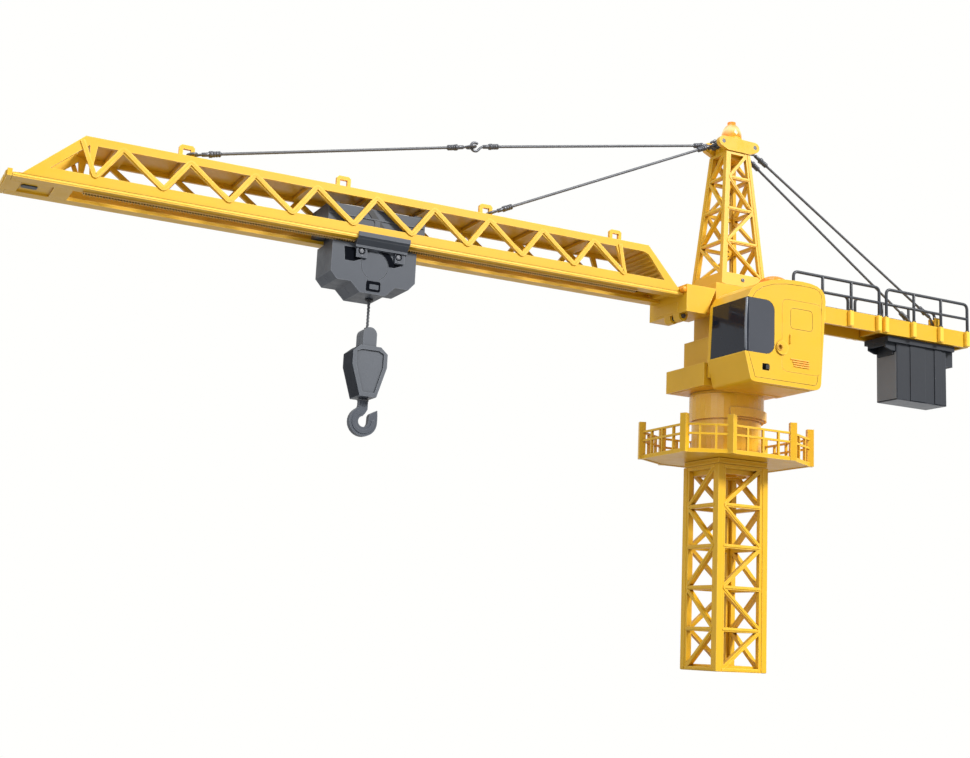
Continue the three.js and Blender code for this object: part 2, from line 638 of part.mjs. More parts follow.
const valleyX = (i) => JIB.valley + i * JIB.pitch;
const peakX = (i) => JIB.valley + (i + JIB.lean) * JIB.pitch;

// Openings of one jib side: the end triangles and the zigzag between the chords.
function jibHoles() {
  const { lowChord: low, highChord: high, peakTip, peakRoot, tip } = JIB;
  const t = 3.4; // half width of a member, measured along the chord
  const noseFoot = tip + 6;
  const noseZ = 300.7;
  const noseSlope = (peakTip - noseFoot) / (JIB.top - noseZ);
  const first = valleyX(0);
  const last = valleyX(JIB.valleys - 1);
  const holes = [
    [[noseFoot + noseSlope * (low - noseZ) + 9.5, low], [first - t, low], [peakTip + 3.2, high]],
    [[first - t + 1, low + 2.4], [first + t - 1, low + 2.4], [peakX(0) - t, high], [peakTip + 8.4, high]],
    [[last - 1, low + 2.2], [last - 8.2, high], [peakX(JIB.valleys - 2) + t, high]],
    [
      [last + t - 1, low], [peakRoot + 16, low], [peakRoot + 3, 323.2], [peakRoot, 326.4],
      [peakRoot - 4.5, high], [last - 3.6, high],
    ],
  ];
  for (let i = 0; i < JIB.valleys - 1; i++) {
    holes.push([[valleyX(i) + t, low], [valleyX(i + 1) - t, low], [peakX(i), high - 2.2]]);
    if (i > 0) holes.push([[valleyX(i), low + 2.2], [peakX(i) - t, high], [peakX(i - 1) + t, high]]);
  }
  return holes;
}

const jibEdge = [
  [JIB.tip, JIB.bottom], [JIB.root, JIB.bottom], [JIB.root, JIB.bottom + 3.2], [JIB.root - 3.4, 302.2],
  [JIB.peakRoot, JIB.top], [JIB.peakTip, JIB.top], [JIB.tip + 6, 300.7], [JIB.tip, 300.2],
];

function jibSide() {
  const plate = prismXZ(jibEdge, -JIB.half, -JIB.half + JIB.plate, jibHoles());
  const flange = box(JIB.tip, JIB.root, -JIB.flangeOut, -JIB.flangeIn, JIB.bottom, JIB.bottom + JIB.flange);
  return join(plate, flange);
}

const mirrorY = (geometry) => toGeometry(toSolid(geometry).mirror([0, 1, 0]));
add('jib_side_near', jibSide(), yellow);
add('jib_side_far', mirrorY(jibSide()), yellow);

function jibTopPlate() {
  const half = JIB.half - JIB.plate - GAP;
  const pieces = [box(JIB.peakTip + 1, JIB.peakRoot + 1, -half, half, JIB.top - 2.2, JIB.top)];
  for (let i = 0; i < JIB.valleys - 1; i++) {
    pieces.push(box(peakX(i) - 5, peakX(i) + 5, -half, half, JIB.highChord + 0.4, JIB.top - 1));
  }
  const slopeFoot = 303.6;
  pieces.push(prismXZ([
    [JIB.peakRoot - 1, JIB.top], [JIB.root - 6, slopeFoot], [JIB.root - 8.5, slopeFoot],
    [JIB.peakRoot - 4, JIB.top - 2.2],
  ], -half, half));
  for (let k = 0; k < LUG.count; k++) {
    const x = LUG.first + k * LUG.pitch;
    const w = LUG.width / 2;
    const z = JIB.top - 0.5;
    const eye = rectangle(x - w + 2.6, x + w - 2.6, z + 3.6, z + LUG.height - 2.4);
    const top = z + LUG.height + 0.5;
    const chamfer = 1.6;
    const loop = [
      [x - w, z], [x + w, z], [x + w, top - chamfer], [x + w - chamfer, top], [x - w + chamfer, top],
      [x - w, top - chamfer],
    ];
    pieces.push(prismXZ(loop, -LUG.thick / 2, LUG.thick / 2, [eye]));
  }
  return join(...pieces);
}

add('jib_top_plate', jibTopPlate(), yellow);

function jibTip() {
  const inner = JIB.flangeIn - GAP;
  const nose = box(JIB.tip - 3.4, JIB.tip - GAP, -JIB.flangeOut, JIB.flangeOut, JIB.bottom, 302);
  const lip = box(JIB.tip - 3, JIB.tip + 7, -inner, inner, JIB.bottom, JIB.bottom + 1.6);
  const pan = box(JIB.tip - 3, RACK.x0 - 6, -inner, inner, JIB.bottom + 1.4, JIB.bottom + 2.8);
  const stop = box(RACK.x0 - 18, RACK.x0 - 6, -inner, inner, JIB.bottom, 305);
  return join(nose, lip, pan, stop);
}

add('jib_tip', jibTip(), yellow);

function jibRack() {
  const pitch = PI * RACK.module;
  const tip = RACK.back - RACK.depth;
  const root = RACK.back - RACK.root;
  const teeth = Math.floor((RACK.x1 - RACK.x0) / pitch);
  const points = [[RACK.x1, RACK.back], [RACK.x0, RACK.back], [RACK.x0, root]];
  for (let i = 0; i < teeth; i++) {
    const x = RACK.x0 + i * pitch;
    points.push([x + pitch * 0.3, root], [x + pitch * 0.55, tip], [x + pitch * 0.8, root]);
  }
  points.push([RACK.x1, root]);
  return prismXZ(points, RACK.y0, RACK.y1);
}

add('jib_rack', jibRack(), yellow);

// ---------------------------------------------------------------- counter-jib

function counterJib() {
  const c = COUNTER;
  const side = (y0, y1) => box(c.x0, c.x1, y0, y1, c.bottom, c.top);
  const pieces = [
    side(-c.half, -c.half + c.wall), side(c.half - c.wall, c.half),
    box(c.x0, c.x1, -c.half, c.half, c.top - c.deck, c.top),
    box(c.x1 - 3, c.x1, -c.half, c.half, c.bottom, c.top),
    box(c.x0, c.x0 + 3, -c.half, c.half, c.bottom, c.top),
  ];
  for (const x of [95, 158]) pieces.push(box(x - 1.5, x + 1.5, -c.half, c.half, c.bottom + 3, c.top));
  for (const side of [-1, 1]) {
    const y = side * ANCHOR.y;
    for (const cheek of [-4.6, 3]) {
      pieces.push(box(ANCHOR.x - 3, ANCHOR.x + 3, y + cheek, y + cheek + 1.6, c.top - 1, ANCHOR.z + 2.6));
    }
    pieces.push(bar('y', 1.4, y - 4, y + 4, ANCHOR.x, ANCHOR.z, 10));
  }
  return join(...pieces);
}

add('counter_jib', counterJib(), yellow);

// One railing section: top rail, middle rail and upright posts with foot pads.
function guardRail(posts, y) {
  const g = GUARD;
  const t = g.tube;
  const foot = COUNTER.top - 7.5;
  const [x0, x1] = [posts[0], posts[posts.length - 1]];
  const reach = Math.abs(y) - COUNTER.half - GAP;
  const inner = y < 0 ? y + reach : y - reach;
  const pieces = [
    box(x0, x1, y - t, y + t, g.top - 2 * t, g.top),
    box(x0, x1, y - t, y + t, g.middle - t, g.middle + t),
  ];
  for (const x of posts) {
    pieces.push(box(x - t, x + t, y - t, y + t, foot, g.top - t));
    pieces.push(box(x - 2.2, x + 2.2, Math.min(inner, y - t), Math.max(inner, y + t), foot - 1, foot + 5.5));
  }
  return join(...pieces);
}

const railPosts = { inner: [52.8, 84.2, 115.6, 147], outer: [155.2, 187, 218.8, 250.6] };
for (const [section, posts] of Object.entries(railPosts)) {
  add(`guard_rail_near_${section}`, guardRail(posts, -GUARD.y), slate);
  add(`guard_rail_far_${section}`, guardRail(posts, GUARD.y), slate);
}

function counterweightBox() {
  const w = WEIGHT;
  const rim = 6;
  const inner = COUNTER.half - COUNTER.wall - GAP;
  const body = join(
    box(w.x0, w.x1, -w.half, w.half, w.bottom, w.top),
    box(w.x1 - 1, w.x1 + 11, -w.half + 3, w.half - 3, 278.5, w.top),
    box(w.x0 - 12, w.x1 + 8, -inner, inner, w.top - 1, w.top + 3.6),
  );
  return cut(
    body,
    box(w.x0 + w.wall, w.x1 - w.wall, w.wall - w.half, w.half - w.wall, w.bottom + w.wall, w.top + rim),
  );
}

add('counterweight_box', counterweightBox(), slate);
const ballastFloor = WEIGHT.bottom + WEIGHT.wall + GAP;
add('counterweight_ballast', box(
  WEIGHT.x0 + WEIGHT.wall + GAP, WEIGHT.x1 - WEIGHT.wall - GAP, -WEIGHT.half + WEIGHT.wall + GAP,
  WEIGHT.half - WEIGHT.wall - GAP, ballastFloor, ballastFloor + WEIGHT.ballast,
), steel);

// ---------------------------------------------------------------- stays

// A stay is a cable with a ferrule and an open hook at each end. It is built along +X from
// the centre of one hook's bend to the other's, then turned into place. A hook's bend
// stands upright round a cross pin, or lies flat round an upright bar.
const STAY = { reach: 12, bend: 3.5, wire: 1, ferrule: 2.3, ferruleLength: 9 };
const hookTurn = { upright: 0, flat: PI / 2 };

function stayHook(turn) {
  const { bend, wire, reach } = STAY;
  const mouth = 0.75;
  const outer = arc(0, 0, bend + wire, mouth, 2 * PI - 0.5, 12);
  const inner = arc(0, 0, bend - wire, 2 * PI - mouth, mouth, 12);
  const stem = [[bend + wire + 1, -wire], [reach + 1, -wire], [reach + 1, wire], [bend - wire + 0.6, wire * 0.4]];
  return prismXZ([...outer, ...stem, ...inner], -wire, wire).rotateX(turn);
}

function stay(from, to, startTurn, endTurn) {
  const a = point(from);
  const b = point(to);
  const length = a.distanceTo(b);
  const { reach, ferrule, ferruleLength } = STAY;
  const body = join(
    bar('x', CABLE, reach, length - reach, 0, 0, 6),
    bar('x', ferrule, reach, reach + ferruleLength, 0, 0, 8),
    bar('x', ferrule, length - reach - ferruleLength, length - reach, 0, 0, 8),
    stayHook(startTurn),
    stayHook(endTurn).rotateZ(PI).translate(length, 0, 0),
  );
  const along = b.clone().sub(a).normalize();
  const sideways = new THREE.Vector3(-along.y, along.x, 0).normalize();
  const upward = new THREE.Vector3().crossVectors(along, sideways);
  return body.applyMatrix4(new THREE.Matrix4().makeBasis(along, sideways, upward).setPosition(a));
}

const lugEye = (k) => [LUG.first + k * LUG.pitch + LUG.width / 2 - 1.3, 0, JIB.top + LUG.height - 6];
const joint = [-244, 0, 392.6]; // where the two lengths of the upper forestay link
const link = 1.6; // half the distance between the two linked bends
const { upright, flat } = hookTurn;
add('forestay_outer', stay(lugEye(0), [joint[0] - link, 0, joint[2] - 0.35], flat, flat), steel);
add('forestay_inner', stay([joint[0] + link, 0, joint[2] + 0.35], [CAP.front, 1.9, CAP.z], upright, upright), steel);
add('forestay_lower', stay(lugEye(2), [CAP.front, -1.9, CAP.z], flat, upright), steel);
for (const [name, side] of [['backstay_near', -1], ['backstay_far', 1]]) {
  const top = [CAP.back, side * 5, CAP.z];
  const foot = [ANCHOR.x, side * ANCHOR.y, ANCHOR.z];
  add(name, stay(top, foot, upright, upright), steel);
}

// ---------------------------------------------------------------- trolley

const trolleyEdge = (() => {
  const [c, w, t] = [TROLLEY.x, TROLLEY.half, TROLLEY.top];
  const right = [[10, 258.5], [17.3, 265.7], [28, 265.7], [w, 271.3], [w, t]];
  return [...right.map(([x, z]) => [c + x, z]), ...right.reverse().map(([x, z]) => [c - x, z])];
})();

const COVER = { x: TROLLEY.x + 0.4, z: 279.6, radius: 10.3, neck: 5.2, bottom: 261 };
const coverOutline = (grow) => {
  const c = COVER;
  const r = c.radius + grow;
  const n = c.neck + grow;
  const a = Math.acos(n / r) + 0.12;
  return [
    ...arc(c.x, c.z, r, -a, PI + a, 22), [c.x - n, c.bottom + 6], [c.x - n, c.bottom - grow],
    [c.x + n, c.bottom - grow], [c.x + n, c.bottom + 6],
  ];
};

function trolleyCavity() {
  const t = TROLLEY;
  const c = CARRIAGE;
  const w = t.wall;
  const right = [[10, 262], [17, 268.6], [t.half - 4, 268.6], [t.half - w, 273], [t.half - w, t.top - 2]];
  const left = right.map(([x, z]) => [-x, z]).reverse();
  const hollow = [...right, ...left].map(([x, z]) => [t.x + x, z]);
  return [
    prismXZ(hollow, -t.side + w, 1),
    box(t.x - c.neckHalf + w, t.x + c.neckHalf - w, -c.neck + w, 1, t.top - 3, c.bottom + w + 1),
    box(t.x - c.half + w, t.x + c.half - w, -c.side + w, 1, c.bottom + w, c.top - w),
  ];
}

// The half shell, hollow and with the hole for the rope.
function trolleyShell() {
  const t = TROLLEY;
  const c = CARRIAGE;
  const body = join(
    prismXZ(trolleyEdge, -t.side, -GAP / 2),
    box(t.x - c.neckHalf, t.x + c.neckHalf, -c.neck, -GAP / 2, t.top - 1, c.bottom + 1),
    box(t.x - c.half, t.x + c.half, -c.side, -GAP / 2, c.bottom, c.top),
  );
  const ropeHole = bar('z', 2.4, t.bottom - 1, t.bottom + 5, ROPE.x, 0, 16);
  return cut(body, ...trolleyCavity(), ropeHole);
}

// Shallow recesses beside the left ear of the saddle and round the top of the cover.
function trolleyRecesses() {
  const { x, z, radius } = COVER;
  const [face, floor] = [-TROLLEY.side - 1, -TROLLEY.side + 1.1];
  const elbow = [
    [x - 24.3, 291], [x - 23.1, 280.7], [x - 16.2, 280.8], [x - 10.8, 283.2], [x - 11, 285], [x - 15.1, 285.2],
    [x - 15.1, 291],
  ];
  const crescent = [
    ...arc(x, z, radius + 0.8, 2.3, 0.12, 12), [x + 15.5, 280.4], [x + 22, 283.4], [x + 14.2, 283.8],
    ...arc(x, z, radius + 5.2, 0.35, 2.1, 9),
  ];
  return [prismXZ(elbow, face, floor), prismXZ(crescent, face, floor)];
}

function trolleyShellNear() {
  const { x, y0, y1 } = PINION;
  const well = box(x - 7.4, x + 7.4, y0 - GAP, y1 + 1.3, TROLLEY.top - 3, TROLLEY.top + 1);
  const coverHole = prismXZ(coverOutline(GAP), -TROLLEY.side - 1, -TROLLEY.side + TROLLEY.wall + 0.5);
  return cut(trolleyShell(), well, coverHole, ...trolleyRecesses());
}

add('trolley_shell_near', trolleyShellNear(), slate);
add('trolley_shell_far', mirrorY(trolleyShell()), slate);
add('drum_cover', prismXZ(coverOutline(0), -TROLLEY.side, -TROLLEY.side + TROLLEY.wall - 0.2), slate);

// A saddle wraps under and outside one jib flange and is screwed to the shell by two ears.
function saddle() {
  const c = TROLLEY.x;
  const face = TROLLEY.side + GAP;
  const out = JIB.flangeOut + 0.5;
  const wrap = [
    [-out - 1.7, 301.4], [-out, 301.4], [-out, 296.7], [-face, 296.7], [-face, 290.6], [-out - 1.7, 298.2],
  ].reverse();
  const pieces = [prismYZ(wrap, c - 16, c + 24.4)];
  const ear = (x0, x1) => box(c + x0, c + x1, -face - 1.4, -face, 284, 293);
  pieces.push(ear(-15, -6.6), ear(15.4, 23));
  pieces.push(box(c - 16, c + 24.4, -face - 2.4, -face, 291.2, 296.7));
  const holes = [[-10.8, 288.9], [18.2, 288.7]].map(([x, z]) => bar('y', 1.7, -face - 3, -face + 1, c + x, z, 12));
  return cut(join(...pieces), ...holes);
}

add('trolley_saddle_near', saddle(), slate);
add('trolley_saddle_far', mirrorY(saddle()), slate);

const drumX = ROPE.x - DRUM.radius;
// The drum is as thick as its wound rope between the flanges.
function hoistDrum() {
  const d = DRUM;
  return join(
    bar('y', 1.8, -13.6, 13.6, drumX, d.z, 12),
    bar('y', d.radius, -d.half, d.half, drumX, d.z, 24),
    bar('y', d.flange, -d.half - 1.5, -d.half, drumX, d.z, 24),
    bar('y', d.flange, d.half, d.half + 1.5, drumX, d.z, 24),
  );
}

add('hoist_drum', hoistDrum(), nylon);
add('hoist_motor', join(
  bar('x', 6.2, TROLLEY.x + 10.5, TROLLEY.x + 29.5, 4, 278, 20),
  bar('x', 1.2, TROLLEY.x + 8.6, TROLLEY.x + 11, 4, 278, 8),
), silver);
add('travel_motor', join(
  bar('x', 6.2, TROLLEY.x - 30.5, TROLLEY.x - 13, 4, 279, 20),
  bar('x', 1.2, TROLLEY.x - 14, TROLLEY.x - 12, 4, 279, 8),
), silver);

const pinionRadius = (PINION.teeth * RACK.module) / 2;
const pinionZ = RACK.back - RACK.depth + 0.5 - pinionRadius;
function travelPinion() {
  const teeth = gearOutline(PINION.teeth, RACK.module, RACK.module * 0.7, RACK.module * 1.2, 0.36);
  const wheel = prismXZ(teeth, PINION.y0, PINION.y1);
  const shaft = bar('y', 1.4, PINION.y0, 12, 0, 0, 10);
  return join(wheel, shaft).translate(PINION.x, 0, pinionZ);
}

add('travel_pinion', travelPinion(), nylon);

// ---------------------------------------------------------------- rope, hook block and hook

add('hoist_rope', bar('z', ROPE.radius, HOOKBLOCK.archTop + GAP, ROPE.exit, ROPE.x, 0, 12), steel);

// Outline of the block's cheeks, moved in by an inset.
function blockEdge(inset) {
  const b = HOOKBLOCK;
  const side = b.shoulder - inset;
  const right = [
    [b.foot - inset * 0.6, b.bottom + inset], [side, b.low], [side, b.high], [b.crown - inset * 0.4, b.top - inset],
  ];
  const left = right.map(([x, z]) => [-x, z]).reverse();
  return [...right, ...left].map(([x, z]) => [ROPE.x + x, z]);
}

// The hook's collar turns in a stepped bore that the two halves of the block share.
const COLLARED = { bore: 3.6, room: 6.3, floor: 190, roof: 196.5 };
function swivelRoom() {
  const c = COLLARED;
  const profile = [[0, 183], [c.bore, 183], [c.bore, c.floor], [c.room, c.floor], [c.room, c.roof], [0, c.roof]];
  return turned(profile, ROPE.x, 0, 20);
}

function hookBlockHalf() {
  const b = HOOKBLOCK;
  const cheek = prismXZ(blockEdge(0), -b.half, -GAP / 2);
  const recess = prismXZ(blockEdge(3), -b.half - 1, -b.half + 1);
  const centre = b.archTop - b.arch;
  const arch = prismXZ([
    [ROPE.x - b.arch, b.top - 1], [ROPE.x + b.arch, b.top - 1], ...arc(ROPE.x, centre, b.arch, 0, PI, 12),
  ], -b.archDepth, -GAP / 2);
  return cut(join(cheek, arch), recess, swivelRoom());
}

add('hook_block_near', hookBlockHalf(), slate);
add('hook_block_far', mirrorY(hookBlockHalf()), slate);

// A flat moulded hook: the shank runs into a ring that opens beside it at the upper right.
function hook() {
  const { x, z, outer, inner, half, shank } = HOOK;
  const crook = [
    [-shank, 183], [-shank, 179], [-3.7, 177.4], ...arc(x, z, outer, 2.18, 2 * PI, 20), [11.2, 172], [10.8, 176.1],
    [5.6, 173.3], [4.6, 171.6], ...arc(x, z, inner, 2 * PI, 1.75, 14), [1.6, 173.2], [shank, 176], [shank, 183],
  ];
  const flat = prismXZ(crook.map(([a, b]) => [ROPE.x + a, b]), -half, half);
  const stem = turned([
    [0, 178.6], [shank, 178.6], [shank, 190.6], [5.6, 190.6], [5.6, 195.8], [0, 195.8],
  ], ROPE.x, 0, 16);
  return join(flat, stem);
}

add('hook', hook(), slate);

export default part;
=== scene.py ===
import bmesh
import bpy
import json
import math
from mathutils import Matrix, Vector


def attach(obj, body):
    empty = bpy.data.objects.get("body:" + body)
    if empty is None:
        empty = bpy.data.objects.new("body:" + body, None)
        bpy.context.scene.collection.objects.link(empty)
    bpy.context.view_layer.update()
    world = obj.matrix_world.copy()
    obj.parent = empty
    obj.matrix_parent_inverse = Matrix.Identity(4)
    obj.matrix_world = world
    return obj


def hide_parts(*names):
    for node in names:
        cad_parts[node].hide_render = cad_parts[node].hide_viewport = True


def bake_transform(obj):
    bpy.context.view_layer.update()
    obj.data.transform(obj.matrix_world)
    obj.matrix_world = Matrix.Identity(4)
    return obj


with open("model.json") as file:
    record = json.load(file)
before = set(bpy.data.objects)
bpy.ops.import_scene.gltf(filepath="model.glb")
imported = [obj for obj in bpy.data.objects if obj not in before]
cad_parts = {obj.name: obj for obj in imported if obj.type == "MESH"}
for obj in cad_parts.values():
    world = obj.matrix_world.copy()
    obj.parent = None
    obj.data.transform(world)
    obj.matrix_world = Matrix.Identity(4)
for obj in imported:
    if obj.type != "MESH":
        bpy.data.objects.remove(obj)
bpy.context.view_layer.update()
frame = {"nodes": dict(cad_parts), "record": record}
nodes = frame["nodes"]
MM = 0.001
PI = math.pi

# ---------------------------------------------------------------- camera


SENSOR_WIDTH = 36
LENS = 52.374
CAMERA_PLACE = (-0.6898, -0.9475, 0.012)
CAMERA_FORWARD = (0.43329, 0.88202, 0.18519)
CAMERA_UP = (-0.12309, -0.14563, 0.98165)


def set_camera():
    data = bpy.data.cameras.new("camera")
    data.sensor_width = SENSOR_WIDTH
    data.sensor_fit = "HORIZONTAL"
    data.lens = LENS
    data.clip_start = 0.01
    data.clip_end = 50
    camera = bpy.data.objects.new("camera", data)
    forward = Vector(CAMERA_FORWARD).normalized()
    up = Vector(CAMERA_UP)
    right = forward.cross(up).normalized()
    up = right.cross(forward)
    turn = Matrix((right, up, -forward)).transposed().to_4x4()
    camera.matrix_world = Matrix.Translation(CAMERA_PLACE) @ turn
    bpy.context.scene.collection.objects.link(camera)
    bpy.context.scene.camera = camera


set_camera()

# ---------------------------------------------------------------- materials


class Nodes:
    """Makes the nodes of one material or world and links them."""

    def __init__(self, tree):
        self.tree = tree

    def add(self, kind, inputs=(), **settings):
        node = self.tree.nodes.new(kind)
        for key, value in settings.items():
            setattr(node, key, value)
        for key, value in dict(inputs).items():
            if isinstance(value, bpy.types.NodeSocket):
                self.tree.links.new(value, node.inputs[key])
            else:
                node.inputs[key].default_value = value
        return node

    def noise(self, scale, detail=3.0, where=None):
        coords = where or self.add("ShaderNodeTexCoord").outputs["Object"]
        noise = self.add("ShaderNodeTexNoise", {"Vector": coords, "Scale": scale, "Detail": detail})
        return noise.outputs["Fac"]

    def spread(self, value, low, high, from_low=0.3, from_high=0.7):
        """Maps a value that runs from from_low to from_high onto low to high."""
        node = self.add("ShaderNodeMapRange", {
            "Value": value, "From Min": from_low, "From Max": from_high, "To Min": low, "To Max": high})
        return node.outputs["Result"]

    def mix(self, factor, first, second):
        node = self.add("ShaderNodeMix", data_type="RGBA")
        for socket, value in zip((node.inputs[0], node.inputs[6], node.inputs[7]), (factor, first, second)):
            if isinstance(value, bpy.types.NodeSocket):
                self.tree.links.new(value, socket)
            else:
                socket.default_value = value
        return node.outputs[2]

    def math(self, operation, first, second=0.0):
        node = self.add("ShaderNodeMath", operation=operation)
        for socket, value in zip(node.inputs, (first, second)):
            if isinstance(value, bpy.types.NodeSocket):
                self.tree.links.new(value, socket)
            else:
                socket.default_value = value
        return node.outputs[0]


# How far the paler edges (wear and painted highlight) reach from an edge, and the painted crease shade from a
# crease, in millimetres.
EDGE_REACH = 0.8
CREASE_REACH = 2.2
COAT_ROUGHNESS = 0.18


def rgba(colour):
    return (*colour, 1.0)


def shade(colour, factor):
    return tuple(min(1.0, c * factor) for c in colour)


def make_finish(name, colour, rough, edge, crease, grain=1400.0, bump=0.012, metallic=0.0, mottle=0.07,
                coat=0.0, stretch=None, gloss=0.35):
    """A surface with wear, slightly uneven: broad colour variation, fine grain, paler edges (wear and painted
    highlight), darker creases (painted shade).
    """
    material = bpy.data.materials.new(name)
    material.use_nodes = True
    tree = Nodes(material.node_tree)
    shader = material.node_tree.nodes["Principled BSDF"]
    coords = tree.add("ShaderNodeTexCoord").outputs["Object"]
    if stretch:
        coords = tree.add("ShaderNodeMapping", {"Vector": coords, "Scale": stretch}).outputs["Vector"]
    broad = tree.noise(17.0, 2.0)
    cloud = tree.noise(120.0, 4.0)
    fine = tree.noise(grain, 4.0, coords)
    dull, bright = rgba(shade(colour, 1 - mottle)), rgba(shade(colour, 1 + mottle))
    base = tree.mix(tree.spread(broad, 0.0, 1.0), dull, bright)
    base = tree.mix(tree.spread(cloud, 0.0, 0.35), base, rgba(shade(colour, 1 - 1.6 * mottle)))
    # Paler edges: wear mixed with a painted highlight along the rounded edges.
    round_over = tree.add("ShaderNodeBevel", {"Radius": EDGE_REACH * MM}, samples=4).outputs["Normal"]
    flat = tree.add("ShaderNodeNewGeometry").outputs["Normal"]
    facing = tree.add("ShaderNodeVectorMath", {0: round_over, 1: flat}, operation="DOT_PRODUCT")
    rubbed_and_lit = tree.spread(facing.outputs["Value"], 0.85, 0.0, 0.90, 0.985)
    wear_and_highlight = tree.math("MULTIPLY", rubbed_and_lit, tree.spread(cloud, 0.35, 1.0))
    base = tree.mix(wear_and_highlight, base, rgba(edge))
    # Darker creases: painted shade, laid where ambient occlusion finds nearby surfaces.
    hollow = tree.add("ShaderNodeAmbientOcclusion", {"Distance": CREASE_REACH * MM}, samples=6,
                      only_local=True)
    base = tree.mix(tree.spread(hollow.outputs["AO"], 0.9, 0.0, 0.3, 0.93), base, rgba(crease))
    material.node_tree.links.new(base, shader.inputs["Base Color"])
    smear = tree.math("ADD", tree.spread(cloud, -0.05, 0.05), tree.spread(fine, rough - 0.04, rough + 0.06))
    material.node_tree.links.new(smear, shader.inputs["Roughness"])
    height = tree.math("ADD", fine, tree.math("MULTIPLY", cloud, 1.5))
    normal = tree.add("ShaderNodeBump", {"Strength": 0.5, "Distance": bump * MM, "Height": height})
    material.node_tree.links.new(normal.outputs["Normal"], shader.inputs["Normal"])
    shader.inputs["Metallic"].default_value = metallic
    shader.inputs["Coat Weight"].default_value = coat
    shader.inputs["Coat Roughness"].default_value = COAT_ROUGHNESS
    shader.inputs["Specular IOR Level"].default_value = gloss
    return material


def glowing(name, colour, rough, glow, strength, core=0.0, centre=0.0):
    """A clear coloured lens with fine moulded ribbing and light inside."""
    material = make_finish(name, colour, rough, shade(colour, 1.25), shade(colour, 0.6), 700.0, 0.02,
                           mottle=0.05)
    tree = Nodes(material.node_tree)
    shader = material.node_tree.nodes["Principled BSDF"]
    shader.inputs["Transmission Weight"].default_value = 0.25
    shader.inputs["IOR"].default_value = 1.49
    coords = tree.add("ShaderNodeTexCoord").outputs["Object"]
    height = tree.add("ShaderNodeSeparateXYZ", {0: coords}).outputs["Z"]
    away = tree.math("ABSOLUTE", tree.math("SUBTRACT", height, centre * MM))
    ripple = tree.spread(tree.noise(260.0, 2.0), -0.1, 0.1)
    hot = tree.math("ADD", tree.spread(away, core, 0.0, 0.0005, 0.0048), ripple)
    light = tree.mix(hot, rgba(glow), (1.0, 0.86, 0.55, 1.0))
    material.node_tree.links.new(light, shader.inputs["Emission Color"])
    shader.inputs["Emission Strength"].default_value = strength
    return material


